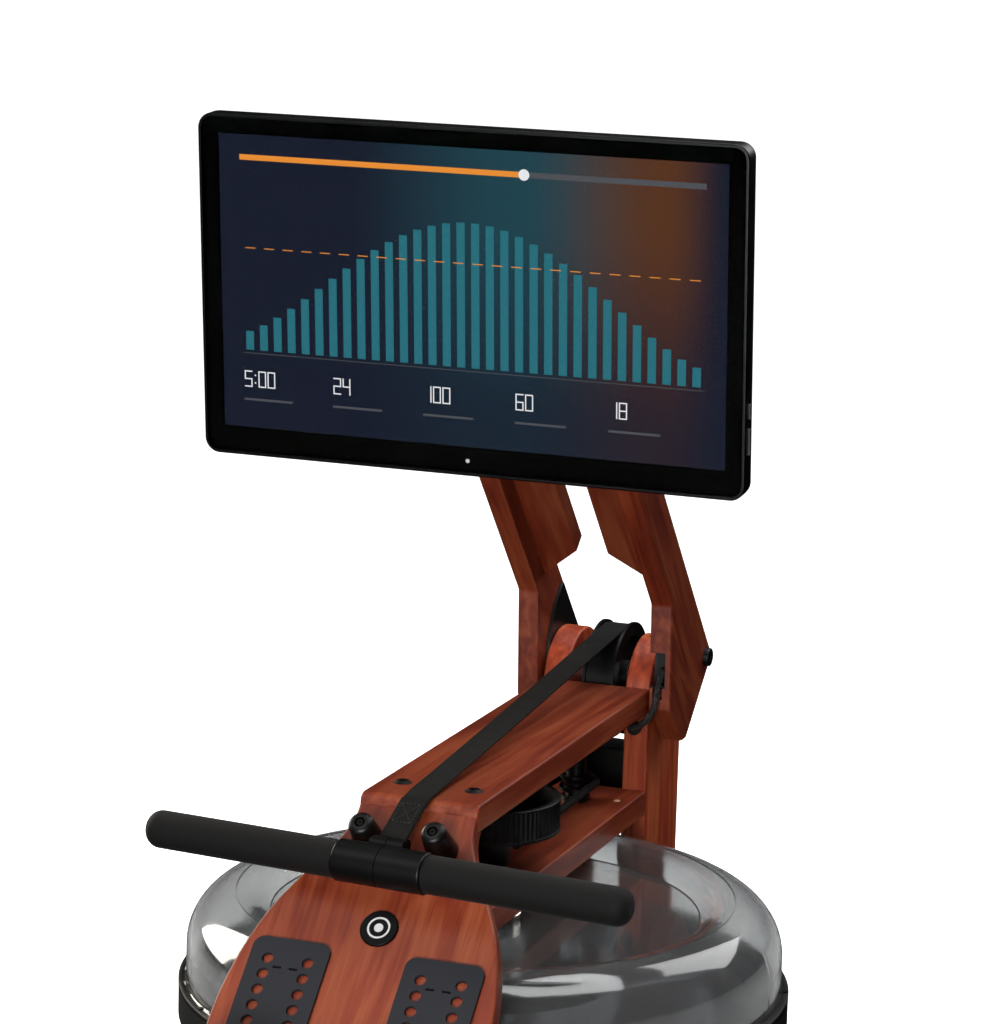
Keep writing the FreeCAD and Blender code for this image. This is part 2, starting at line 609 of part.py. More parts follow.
# ---- neck ----
def make_neck():
    lean = math.radians(ARM_LEAN)
    rear = (419.0, 489.0)
    top_rear = rear[1] + (rear[0] - ARM_TOP_Y) / math.tan(lean)
    top_front = KNEE_Z + (KNEE_Y - ARM_TOP_Y) / math.tan(lean)
    profile = [(KNEE_Y, KNEE_Z, 6), (290, 452, 4), (335, 411, 3), (347, 411, 3), (413, 470, 5),
               (rear[0], rear[1], 8), (ARM_TOP_Y, top_rear, 3), (ARM_TOP_Y, top_front, 3)]
    arm = slab_x(profile, ARM_IN, ARM_OUT)
    arm = arm.cut(rod(SHAFT_R + FIT, V(ARM_IN - 1, PIVOT_Y, PIVOT_Z), V(ARM_OUT + 1, PIVOT_Y, PIVOT_Z)))
    arm = softened(arm, 3.0, lambda e: e.BoundBox.XLength < 0.01 and e.BoundBox.XMin > ARM_OUT - 1
                   and e.BoundBox.DiagonalLength > 8 and not hole_edge(e))
    arm_left = mirrored(arm)
    port = box(ARM_IN - 1, 75, 280, 312, 474, 511)
    arm = arm.cut(port).cut(box(62, 72, 280, 302, 462.5, 475))
    write("neck_arms", arm, arm_left)
    liner = box(ARM_IN, 75, 291.5, 312, 474, 511)
    liner = liner.cut(box(ARM_IN - 1, 73.4, 280, 310.4, 475.6, 509.4))
    liner = liner.cut(box(62, 71, 280, 303, 470, 480))
    write("cable_port", liner)
    long_end = 440.0
    flange = slab_z([(FLANGE_IN, 43, 3), (FLANGE_IN, long_end, 0), (ARM_IN, long_end, 0),
                     (ARM_IN, -0.5, 0)], -FLANGE_BACK - FLANGE_T, -FLANGE_BACK)
    flange = on_arm(flange)
    write("arm_flanges", *both(flange))
    plate = rod(88, V(UP_OUT, PIVOT_Y, PIVOT_Z), V(UP_OUT + 2.9, PIVOT_Y, PIVOT_Z))
    plate = plate.common(box(50, 70, 300, 414, 440, 590))
    behind_arm = on_arm(box(50, 70, -300, 300, -300, -48))
    plate = plate.cut(behind_arm)
    plate = plate.cut(rod(SHAFT_R, V(50, PIVOT_Y, PIVOT_Z), V(70, PIVOT_Y, PIVOT_Z)))
    write("pivot_plates", *both(plate))
    bolt = rod(SHAFT_R, V(UP_OUT, PIVOT_Y, PIVOT_Z), V(ARM_OUT + 0.4, PIVOT_Y, PIVOT_Z))
    knob = softened(rod(9.5, V(ARM_OUT + 0.4, PIVOT_Y, PIVOT_Z), V(ARM_OUT + 6.2, PIVOT_Y, PIVOT_Z)), 2.0,
                    lambda e: e.BoundBox.XMin > ARM_OUT + 6)
    knob = knob.cut(rod(4, V(ARM_OUT + 3.4, PIVOT_Y, PIVOT_Z), V(ARM_OUT + 9, PIVOT_Y, PIVOT_Z)))
    write("pivot_bolts", *both(bolt.fuse(knob).removeSplitter()))
    bracket = box(-92, 92, ARM_TOP_Y - 4, ARM_TOP_Y, 868, 975)
    bracket = softened(bracket, 10, lambda e: along(e, V(0, 1, 0)))
    for x0, x1 in ((-46, -34), (34, 46)):
        lug = slab_x([(ARM_TOP_Y - 4, 890, 0), (TILT_Y - 4, TILT_Z - 10, 8), (TILT_Y - 9, TILT_Z, 8),
                      (TILT_Y - 4, TILT_Z + 10, 8), (ARM_TOP_Y - 4, 920, 0)], x0, x1)
        bracket = bracket.fuse(lug)
    bracket = bracket.fuse(rod(5, V(-46, TILT_Y, TILT_Z), V(46, TILT_Y, TILT_Z)))
    write("neck_bracket", bracket.removeSplitter())


def hole_edge(edge):
    """True for the rim of the pivot hole."""
    middle = edge.BoundBox.Center
    return abs(middle.y - PIVOT_Y) < 1 and abs(middle.z - PIVOT_Z) < 1


# ---- screen ----
def screen_slab(inset, z0, z1, corner):
    w = SCREEN_HALF_W - inset
    top = SCREEN_UP - inset
    low = -SCREEN_DOWN + inset
    return slab_z([(-w, low, corner), (w, low, corner), (w, top, corner), (-w, top, corner)], z0, z1)


def make_screen():
    frame_t = 15.0
    bezel = screen_slab(0, -frame_t, 0, 14).cut(screen_slab(3.0, -frame_t - 1, 1, 11))
    bezel = softened(bezel, 1.6, lambda e: e.BoundBox.ZMin > -0.01 and outer_edge(e))
    button_slots = [(-81, 7), (-108, 12)]
    for v, half in button_slots:
        bezel = bezel.cut(box(250, 260, v - half, v + half, -12, -7))
    write("screen_bezel", on_screen(bezel))
    write("screen_glass", on_screen(screen_slab(3.0, -3.0, -0.4, 11)))
    panel = box(-LIT_HALF_W, LIT_HALF_W, -LIT_HALF_H, LIT_HALF_H, -8, -3.8)
    write("screen_panel", on_screen(panel))
    back = screen_slab(0.6, -SCREEN_T, -frame_t, 13)
    hump = slab_z([(-170, -100, 22), (170, -100, 22), (170, 100, 22), (-170, 100, 22)], -33, -SCREEN_T)
    hump = softened(hump, 6, lambda e: e.BoundBox.ZMax < -32)
    hollow = box(-158, 158, -88, 88, -30.5, -frame_t + 1)
    # hinge block on the rear shell, round the bracket's pin
    local = on_screen_inverse(TILT_Y, TILT_Z)
    block = box(-33, 33, local[0] - 15, local[0] + 15, local[1] - 9, -33)
    block = softened(block, 8, lambda e: along(e, V(1, 0, 0)) and e.BoundBox.ZMax < local[1] - 8)
    shell = back.fuse(hump).cut(hollow).fuse(block)
    shell = shell.cut(rod(5 + FIT, V(-34, local[0], local[1]), V(34, local[0], local[1])))
    write("screen_rear_shell", on_screen(shell.removeSplitter()))
    power = box(251, SCREEN_HALF_W + 1.6, -81 - 6.5, -81 + 6.5, -11.5, -7.5)
    write("power_button", on_screen(power))
    volume = box(251, SCREEN_HALF_W + 1.6, -108 - 11.5, -108 + 11.5, -11.5, -7.5)
    volume = volume.fuse(rod(1.2, V(252, -108, -13.5), V(252, -108, -5.5))).removeSplitter()
    write("volume_rocker", on_screen(volume))


def outer_edge(edge):
    middle = edge.BoundBox
    return middle.XMax > SCREEN_HALF_W - 0.5 or middle.XMin < -SCREEN_HALF_W + 0.5 \
        or middle.YMax > SCREEN_UP - 0.5 or middle.YMin < -SCREEN_DOWN + 0.5


def on_screen_inverse(y, z):
    """Screen-local (up, off the glass) of a point in the middle plane."""
    lean = math.radians(SCREEN_TILT)
    dy, dz = y - SCREEN_Y, z - SCREEN_Z
    return -dy * math.sin(lean) + dz * math.cos(lean), -dy * math.cos(lean) - dz * math.sin(lean)


# ---- handle, pegs, footboard fittings ----
def make_handle():
    def axis(x):
        return V(x, HANDLE_Y, HANDLE_Z)

    def hung(shape):
        """Turns a piece with the handle, about the upright through its middle."""
        shape = shape.copy()
        shape.rotate(axis(0), V(0, 0, 1), HANDLE_TURN)
        return shape
    write("handle_tube", hung(rod(TUBE_R, axis(-HANDLE_HALF + 8), axis(HANDLE_HALF - 8))))
    grip = rod(GRIP_R, axis(44), axis(HANDLE_HALF))
    grip = softened(grip, 13, lambda e: e.BoundBox.XMin > HANDLE_HALF - 1)
    grip = grip.cut(rod(TUBE_R, axis(40), axis(HANDLE_HALF - 8)))
    write("handle_grips", *[hung(g) for g in both(grip)])
    sleeve = rod(GRIP_R + 1.6, axis(0.4), axis(43.6))
    sleeve = softened(sleeve, 2.5, lambda e: e.BoundBox.XMin > 43)
    ear = box(0.4, 16.2, HANDLE_Y + 3, HANDLE_Y + 19.5, HANDLE_Z + 6, HANDLE_Z + 22.5)
    ear = softened(ear, 5, lambda e: along(e, V(1, 0, 0)))
    sleeve = sleeve.fuse(ear)
    slot = box(-1, 14.6, HANDLE_Y + 12, HANDLE_Y + 30, HANDLE_Z + 11.5, HANDLE_Z + 20.7)
    sleeve = sleeve.cut(slot).cut(rod(TUBE_R, axis(-1), axis(45)))
    write("handle_bracket", *[hung(b) for b in both(sleeve.removeSplitter())])


def make_pegs():
    pegs = []
    for x in (-34, 34):
        peg = Part.makeCone(14.5, 11.0, 36, V(x, -37, 0))
        peg = softened(peg, 5.5, lambda e: e.BoundBox.ZMin > 35)
        peg = peg.cut(Part.makeCylinder(5.0, 6, V(x, -37, 32.5)))
        pegs.append(on_board(peg))
    write("handle_pegs", *pegs)
    badge = Part.makeCylinder(17.2, 2.6, V(0, -119, 0))
    badge = softened(badge, 1.2, lambda e: e.BoundBox.ZMin > 2)
    write("badge", on_board(badge))


def make_footplates():
    lift = 0.5
    thick = 4.0
    plate = slab_z([(PLATE_IN, -PLATE_END, 14), (PLATE_OUT, -PLATE_END, 14),
                    (PLATE_OUT, -PLATE_TOP, 10), (PLATE_IN, -PLATE_TOP, 10)], lift, lift + thick)
    middle = (PLATE_IN + PLATE_OUT) / 2
    for row in range(7):
        for side in (-0.5, 0.5):
            spot = V(middle + side * HOLE_SPACING, -HOLE_FIRST - HOLE_PITCH * row, -1)
            plate = plate.cut(Part.makeCylinder(HOLE_R, 10, spot))
    for side in (-0.5, 0.5):
        x = middle + side * 15
        plate = plate.cut(box(x - 4, x + 4, -HOLE_FIRST - 8.6, -HOLE_FIRST - 6.4, -1, 10))
    cup = slab_z([(PLATE_IN, -PLATE_END, 14), (PLATE_OUT, -PLATE_END, 14),
                  (PLATE_OUT, -PLATE_END + 52, 0), (PLATE_IN, -PLATE_END + 52, 0)], lift, 36)
    cup = cup.cut(slab_z([(PLATE_IN + 4, -PLATE_END + 4, 10), (PLATE_OUT - 4, -PLATE_END + 4, 10),
                          (PLATE_OUT - 4, -PLATE_END + 60, 0), (PLATE_IN + 4, -PLATE_END + 60, 0)],
                         lift + thick, 40))
    slope = box(0, 200, 0, 80, 0, 60)
    slope.rotate(V(0, 0, 0), V(1, 0, 0), -38)
    slope.translate(V(0, -PLATE_END + 6, 38))
    plate = plate.fuse(cup.cut(slope)).removeSplitter()
    plate = on_board(plate)
    write("footplate_right", plate)
    write("footplate_left", mirrored(plate))
    # webbing over each foot, from the slots beside the plate
    span, rise, low = 40.0, 62.0, -16.0
    outer = [(71 - span - 1.2, low, 0), (71 + span + 1.2, low, 0), (71 + span + 1.2, rise * 0.55, 14),
             (71 + 22, rise + 1.2, 24), (71 - 22, rise + 1.2, 24), (71 - span - 1.2, rise * 0.55, 14)]
    inner = [(71 - span + 1.2, low - 1, 0), (71 + span - 1.2, low - 1, 0), (71 + span - 1.2, rise * 0.55, 12),
             (71 + 21, rise - 1.2, 22), (71 - 21, rise - 1.2, 22), (71 - span + 1.2, rise * 0.55, 12)]
    wide0, wide1 = -304.0, -266.0

    def arch(corners):
        wire = rounded_loop(corners, lambda p: V(p.x, wide0, p.y))
        return Part.Face(wire).extrude(V(0, wide1 - wide0, 0))
    strap = arch(outer).cut(arch(inner))
    write("foot_straps", *both(on_board(strap)))
    buckle = box(71 - 12, 71 + 12, wide0 - 3, wide1 + 3, rise + 1.7, rise + 6.5)
    buckle = softened(buckle, 2, lambda e: along(e, V(1, 0, 0)) or along(e, V(0, 1, 0)))
    write("strap_buckles", *both(on_board(buckle)))


# ---- seat ----
def make_seat():
    tilt = math.degrees(math.atan(RAIL_SLOPE))
    ground = rail_top(SEAT_Y) + TRACK_T

    def place(shape):
        """Local Y along the rails (forward), Z up from the tracks, X across."""
        return turned(shape, -tilt, SEAT_Y, ground)
    axle_z = WHEEL_R + 0.35
    plate_z = 50.0
    carriage = slab_z([(-95, -95, 12), (95, -95, 12), (95, 95, 12), (-95, 95, 12)], plate_z, plate_z + 12)
    write("seat_base", place(carriage))
    frame = None
    for x in (-52, 46):
        cheek = slab_x([(-95, plate_z, 0), (-88, 12, 6), (88, 12, 6), (95, plate_z, 0)], x, x + 6)
        frame = cheek if frame is None else frame.fuse(cheek)
    frame = frame.fuse(box(-52, 52, -85, 85, plate_z - 3, plate_z))
    for y in (-SEAT_BASE, SEAT_BASE):
        frame = frame.fuse(rod(5, V(-81, y, axle_z), V(81, y, axle_z)))
    write("seat_carriage", place(frame.removeSplitter()))
    for name, y in (("seat_wheels_front", SEAT_BASE), ("seat_wheels_rear", -SEAT_BASE)):
        wheel = tube(WHEEL_R, 5 + FIT, V(TRACK_X - 8, y, axle_z), V(TRACK_X + 8, y, axle_z))
        wheel = softened(wheel, 2.5, lambda e: abs(e.Length - 2 * math.pi * WHEEL_R) < 0.1)
        write(name, *[place(w) for w in both(wheel)])
    pad = slab_z([(-150, -118, 60), (150, -118, 60), (150, 112, 46), (-150, 112, 46)],
                 plate_z + 12, plate_z + 12 + 46)
    pad = softened(pad, 14, lambda e: e.BoundBox.ZMin > plate_z + 50)
    write("seat_pad", place(pad))
    front_stop = SEAT_BASE + WHEEL_R + 3
    travel_end = -1640.0 - SEAT_Y
    stops = []
    for y0, y1 in ((front_stop, front_stop + 22), (travel_end - 20, travel_end)):
        stop = box(RAIL_IN + 5, RAIL_OUT - 5, y0, y1, 0, 26)
        stop = softened(stop, 4, lambda e: e.BoundBox.ZMin > 25)
        stops += both(place(stop))
    write("seat_stops", *stops)
    print("seat travel", round(-travel_end - SEAT_BASE - WHEEL_R, 1))


# ---- display lead ----
def make_display_lead():
    route = [V(66.5, 307.3, 489.6), V(66.5, 293.5, 475), V(67.5, 285.5, 465.5), V(67, 280, 454),
             V(61.5, 278, 443.5), V(52, 279.5, 436), V(44, 285, 432), V(43.2, 291.5, 430.5)]
    write("display_lead", cord(route, 6.5, "display_lead"))
    write("lead_gland", rod(7, V(43, UP_Y0, 430), V(43, UP_Y0 - 5.3, 430)))


make_rails()
make_tracks()
make_uprights()
make_decks()
make_footboard()
make_legs_and_bars()
make_castors()
make_fasteners()
make_tank()
make_paddle()
make_drum()
make_pulley()
make_strap()
make_bungee()
make_sensor_box()
make_neck()
make_screen()
make_handle()
make_pegs()
make_footplates()
make_seat()
make_display_lead()
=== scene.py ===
import math

import bmesh
import bpy
import numpy as np
from mathutils import Matrix, Vector


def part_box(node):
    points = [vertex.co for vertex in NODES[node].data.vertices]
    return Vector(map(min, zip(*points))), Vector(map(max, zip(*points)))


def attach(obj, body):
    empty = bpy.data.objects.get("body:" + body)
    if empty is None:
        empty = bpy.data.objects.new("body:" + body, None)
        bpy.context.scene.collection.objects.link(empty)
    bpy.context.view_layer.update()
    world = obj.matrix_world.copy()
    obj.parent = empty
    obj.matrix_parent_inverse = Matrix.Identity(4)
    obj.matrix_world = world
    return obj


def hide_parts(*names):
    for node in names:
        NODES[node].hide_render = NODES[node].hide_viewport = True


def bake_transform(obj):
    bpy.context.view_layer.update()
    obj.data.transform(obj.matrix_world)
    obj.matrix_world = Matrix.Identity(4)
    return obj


# Looks of the water rowing machine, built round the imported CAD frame. Metres, in the machine's own
# frame: +X is the rower's right, +Y the way the rower faces, +Z up.

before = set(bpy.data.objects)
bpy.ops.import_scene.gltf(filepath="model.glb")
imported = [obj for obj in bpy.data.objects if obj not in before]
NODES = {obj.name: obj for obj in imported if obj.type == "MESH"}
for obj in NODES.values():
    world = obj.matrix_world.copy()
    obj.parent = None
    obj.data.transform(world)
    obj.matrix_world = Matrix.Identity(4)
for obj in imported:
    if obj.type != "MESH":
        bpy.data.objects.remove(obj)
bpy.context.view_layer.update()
scene = bpy.context.scene

TANK_Y = 0.624                          # the tank's axis stands at (0, TANK_Y)


# ---------------------------------------------------------------- camera
CAMERA_PLACE = (1.1349, -2.4084, 1.3380)
CAMERA_AZIMUTH, CAMERA_PITCH, CAMERA_ROLL = 20.45, 11.2, 1.5        # degrees
CAMERA_LENS = 127.5                                                 # mm, on a 36 mm sensor


def make_camera():
    azimuth, pitch, roll = (math.radians(turn) for turn in (CAMERA_AZIMUTH, CAMERA_PITCH, CAMERA_ROLL))
    forward = Vector((-math.sin(azimuth) * math.cos(pitch), math.cos(azimuth) * math.cos(pitch),
                      -math.sin(pitch)))
    level = Vector((math.cos(azimuth), math.sin(azimuth), 0))
    upward = level.cross(forward)
    right = level * math.cos(roll) + upward * math.sin(roll)
    up = upward * math.cos(roll) - level * math.sin(roll)
    data = bpy.data.cameras.new("camera")
    data.sensor_width = 36.0
    data.lens = CAMERA_LENS
    data.clip_end = 200.0
    camera = bpy.data.objects.new("camera", data)
    scene.collection.objects.link(camera)
    turn = Matrix((right, up, -forward)).transposed().to_4x4()
    camera.matrix_world = Matrix.Translation(CAMERA_PLACE) @ turn
    scene.camera = camera


make_camera()


# ---------------------------------------------------------------- material graphs
class Graph:
    """A material under construction."""

    def __init__(self, name):
        self.material = bpy.data.materials.new(name)
        self.material.use_nodes = True
        self.tree = self.material.node_tree
        self.shader = self.tree.nodes["Principled BSDF"]

    def node(self, kind, **settings):
        made = self.tree.nodes.new(kind)
        for key, value in settings.items():
            setattr(made, key, value)
        return made

    def feed(self, socket, value):
        if isinstance(value, bpy.types.NodeSocket):
            self.tree.links.new(value, socket)
        else:
            socket.default_value = value

    def set(self, **values):
        """Feeds the shader's sockets; underscores stand for spaces."""
        for key, value in values.items():
            if key.endswith("Color") and not isinstance(value, bpy.types.NodeSocket):
                value = (*value, 1.0)
            self.feed(self.shader.inputs[key.replace("_", " ")], value)
        return self

    def math(self, operation, a, b=0.0, c=0.0, clamp=False):
        made = self.node("ShaderNodeMath", operation=operation, use_clamp=clamp)
        for socket, value in zip(made.inputs, (a, b, c)):
            self.feed(socket, value)
        return made.outputs[0]

    def step(self, value, low, high):
        """Rises smoothly from 0 at low to 1 at high."""
        made = self.node("ShaderNodeMapRange", interpolation_type="SMOOTHSTEP")
        for key, fed in (("Value", value), ("From Min", low), ("From Max", high)):
            self.feed(made.inputs[key], fed)
        return made.outputs["Result"]

    def mix(self, factor, a, b):
        made = self.node("ShaderNodeMix", data_type="RGBA")
        self.feed(made.inputs["Factor"], factor)
        for name, value in (("A", a), ("B", b)):
            socket = [s for s in made.inputs if s.name == name and s.type == "RGBA"][0]
            self.feed(socket, value if isinstance(value, bpy.types.NodeSocket) else (*value, 1.0))
        return [s for s in made.outputs if s.type == "RGBA"][0]

    def ramp(self, factor, stops, interpolation="LINEAR"):
        made = self.node("ShaderNodeValToRGB")
        made.color_ramp.interpolation = interpolation
        elements = made.color_ramp.elements
        while len(elements) < len(stops):
            elements.new(0.5)
        for element, (place, colour) in zip(elements, stops):
            element.position = place
            element.color = (*colour, 1.0)
        self.feed(made.inputs["Fac"], factor)
        return made.outputs["Color"]

    def place(self):
        return self.node("ShaderNodeTexCoord").outputs["Object"]

    def scaled(self, vector, scale):
        made = self.node("ShaderNodeMapping")
        self.feed(made.inputs["Vector"], vector)
        made.inputs["Scale"].default_value = scale
        return made.outputs["Vector"]

    def dot(self, vector, direction):
        made = self.node("ShaderNodeVectorMath", operation="DOT_PRODUCT")
        self.feed(made.inputs[0], vector)
        made.inputs[1].default_value = direction
        return made.outputs["Value"]

    def join(self, x, y, z):
        made = self.node("ShaderNodeCombineXYZ")
        for socket, value in zip(made.inputs, (x, y, z)):
            self.feed(socket, value)
        return made.outputs[0]

    def noise(self, vector, scale, detail=3.0, rough=0.5, distortion=0.0):
        made = self.node("ShaderNodeTexNoise")
        self.feed(made.inputs["Vector"], vector)
        for key, value in (("Scale", scale), ("Detail", detail), ("Roughness", rough),
                           ("Distortion", distortion)):
            made.inputs[key].default_value = value
        return made.outputs["Fac"]

    def attribute(self, name):
        return self.node("ShaderNodeAttribute", attribute_name=name).outputs["Fac"]

    def bump(self, height, strength, distance):
        made = self.node("ShaderNodeBump")
        made.inputs["Strength"].default_value = strength
        made.inputs["Distance"].default_value = distance
        self.feed(made.inputs["Height"], height)
        self.feed(self.shader.inputs["Normal"], made.outputs["Normal"])
        return self


def shade(colour, factor):
    return tuple(c * factor for c in colour)


# ---------------------------------------------------------------- materials
LEAN = math.radians(41.8)
ALONG_ARM = (0.0, -math.sin(LEAN), math.cos(LEAN))
UP_BOARD = (0.0, math.sqrt(0.5), math.sqrt(0.5))
WOOD_DARK = (0.078, 0.0065, 0.0020)
WOOD_MID = (0.215, 0.031, 0.0092)
WOOD_LIGHT = (0.350, 0.086, 0.031)


def wood(name, grain, seed, tone_and_light=1.0, figure=1.0):
    """Stained cherry with its grain along the given direction. tone_and_light brightens it, as the wood's
    own tone or as painted light and shade; figure packs its bands.
    """
    g = Graph(name)
    grain = Vector(grain)
    side = Vector((1, 0, 0)) if abs(grain.x) < 0.9 else Vector((0, 1, 0))
    depth = grain.cross(side).normalized()
    point = g.place()
    a, b, c = g.dot(point, side), g.dot(point, grain), g.dot(point, depth)
    lay = g.join(g.math("ADD", a, seed * 0.37), g.math("ADD", b, seed * 1.71), g.math("ADD", c, seed * 0.83))
    broad = g.noise(g.scaled(lay, (1, 0.10, 1)), 15.0 * figure, 4.0, 0.55, 0.6)
    warp = g.noise(g.scaled(lay, (1, 0.16, 1)), 26.0, 2.0, 0.5, 0.3)
    bands = g.math("SINE", g.math("MULTIPLY", g.math("ADD", broad, g.math("MULTIPLY", warp, 0.35)), 34.0))
    bands = g.math("MULTIPLY_ADD", bands, 0.5, 0.5)
    streak = g.noise(g.scaled(lay, (1, 0.035, 1)), 190.0, 4.0, 0.6, 0.2)
    hair = g.noise(g.scaled(lay, (1, 0.02, 1)), 900.0, 2.0, 0.5)
    pores = g.step(hair, 0.62, 0.70)
    blotch = g.noise(g.scaled(lay, (1, 0.5, 1)), 7.0, 2.0, 0.5)
    value = g.math("MULTIPLY_ADD", streak, 0.55, g.math("MULTIPLY", bands, 0.22))
    value = g.math("ADD", value, g.math("MULTIPLY_ADD", blotch, 0.42, -0.07))
    colour = g.ramp(value, [(0.18, shade(WOOD_DARK, tone_and_light)), (0.50, shade(WOOD_MID, tone_and_light)),
                            (0.86, shade(WOOD_LIGHT, tone_and_light))])
    colour = g.mix(g.math("MULTIPLY", pores, 0.38), colour, shade(WOOD_DARK, tone_and_light * 0.55))
    rough = g.math("MULTIPLY_ADD", streak, 0.16, 0.38)
    g.set(Base_Color=colour, Roughness=rough, Specular_IOR_Level=0.36)
    height = g.math("SUBTRACT", g.math("MULTIPLY", streak, 0.5), g.math("MULTIPLY", pores, 0.5))
    return g.bump(height, 0.16, 0.0006).material


def moulded(name, colour, rough=0.5, grain=1400.0, bump=0.10, specular=0.4):
    """Moulded plastic or painted metal with a fine surface."""
    spread = 0.12
    g = Graph(name)
    point = g.place()
    fine = g.noise(point, grain, 2.0, 0.6)
    broad = g.noise(point, 22.0, 3.0, 0.55)
    tint = g.mix(g.math("MULTIPLY_ADD", broad, 1.0, 0.0, clamp=True), shade(colour, 1 - spread),
                 shade(colour, 1 + spread))
    g.set(Base_Color=tint, Roughness=g.math("MULTIPLY_ADD", broad, 0.16, rough - 0.08),
          Specular_IOR_Level=specular)
    return g.bump(fine, bump, 0.0002).material


def metal(name, colour, rough, grain=(1, 1, 1), bump=0.05):
    g = Graph(name)
    lines = g.noise(g.scaled(g.place(), grain), 700.0, 3.0, 0.6)
    smudge = g.noise(g.place(), 30.0, 3.0, 0.5)
    value = g.math("MULTIPLY_ADD", lines, 0.25, g.math("MULTIPLY_ADD", smudge, 0.15, rough - 0.2))
    tint = g.mix(smudge, shade(colour, 0.85), shade(colour, 1.1))
    g.set(Base_Color=tint, Metallic=1.0, Roughness=value)
    return g.bump(lines, bump, 0.0002).material


def webbing_material(name, colour):
    """Woven strap: ribs across its length and warp threads along it."""
    g = Graph(name)
    along, across = g.attribute("along"), g.attribute("across")
    weft = g.math("SINE", g.math("MULTIPLY", along, 2 * math.pi / 0.0016))
    warp = g.math("SINE", g.math("MULTIPLY", across, 2 * math.pi / 0.0011))
    weave = g.math("MULTIPLY_ADD", g.math("MULTIPLY", weft, warp), 0.35,
                   g.math("MULTIPLY_ADD", weft, 0.30, 0.5))
    wear = g.noise(g.place(), 60.0, 4.0, 0.6)
    fuzz = g.noise(g.place(), 2600.0, 2.0, 0.6)
    tint = g.mix(g.math("MULTIPLY", weave, wear), shade(colour, 0.55), shade(colour, 1.7))
    g.set(Base_Color=tint, Roughness=g.math("MULTIPLY_ADD", wear, 0.2, 0.58), Specular_IOR_Level=0.16,
          Sheen_Weight=0.02, Sheen_Roughness=0.4)
    return g.bump(g.math("MULTIPLY_ADD", fuzz, 0.3, weave), 0.45, 0.0005).material


def foam(name, colour):
    """Closed-cell grip foam: matte with fine pits."""
    g = Graph(name)
    point = g.place()
    pits = g.node("ShaderNodeTexVoronoi", feature="F1")
    g.feed(pits.inputs["Vector"], point)
    pits.inputs["Scale"].default_value = 900.0
    fine = g.noise(point, 520.0, 4.0, 0.65)
    worn = g.noise(g.scaled(point, (0.5, 1, 1)), 26.0, 3.0, 0.5)
    tint = g.mix(worn, shade(colour, 0.80), shade(colour, 1.25))
    g.set(Base_Color=tint, Roughness=g.math("MULTIPLY_ADD", fine, 0.2, 0.66), Specular_IOR_Level=0.24,
          Sheen_Weight=0.03, Sheen_Roughness=0.5)
    height = g.math("MULTIPLY_ADD", pits.outputs["Distance"], 0.5, fine)
    return g.bump(height, 0.22, 0.0004).material


def clear(name, tint, rough=0.02, ior=1.35, haze=0.0, specular=0.5):
    """Clear plastic or water with faint marks; haze is the share of it that is not clear."""
    g = Graph(name)
    point = g.place()
    marks = g.noise(point, 9.0, 3.0, 0.5)
    scratch = g.noise(g.scaled(point, (1, 1, 6)), 60.0, 3.0, 0.6)
    g.set(Base_Color=g.mix(marks, shade(tint, 0.96), tint),
          Roughness=g.math("MULTIPLY_ADD", g.step(scratch, 0.62, 0.8), 0.05, rough),
          Transmission_Weight=1.0 - haze, IOR=ior, Specular_IOR_Level=specular)
    return g.bump(marks, 0.05, 0.002).material


def glow(name, colour):
    """Lit mark on the display, with the panel's fine columns."""
    g = Graph(name)
    columns = g.math("SINE", g.math("MULTIPLY", g.dot(g.place(), (1.0, 0.0, 0.0)), 2 * math.pi / 0.0005))
    value = g.math("MULTIPLY_ADD", columns, 0.04, 0.96)
    lit = g.mix(value, shade(colour, 0.5), colour)
    g.set(Base_Color=(0.002, 0.002, 0.002), Roughness=0.5, Specular_IOR_Level=0.0, Emission_Color=lit,
          Emission_Strength=1.0)
    return g.material


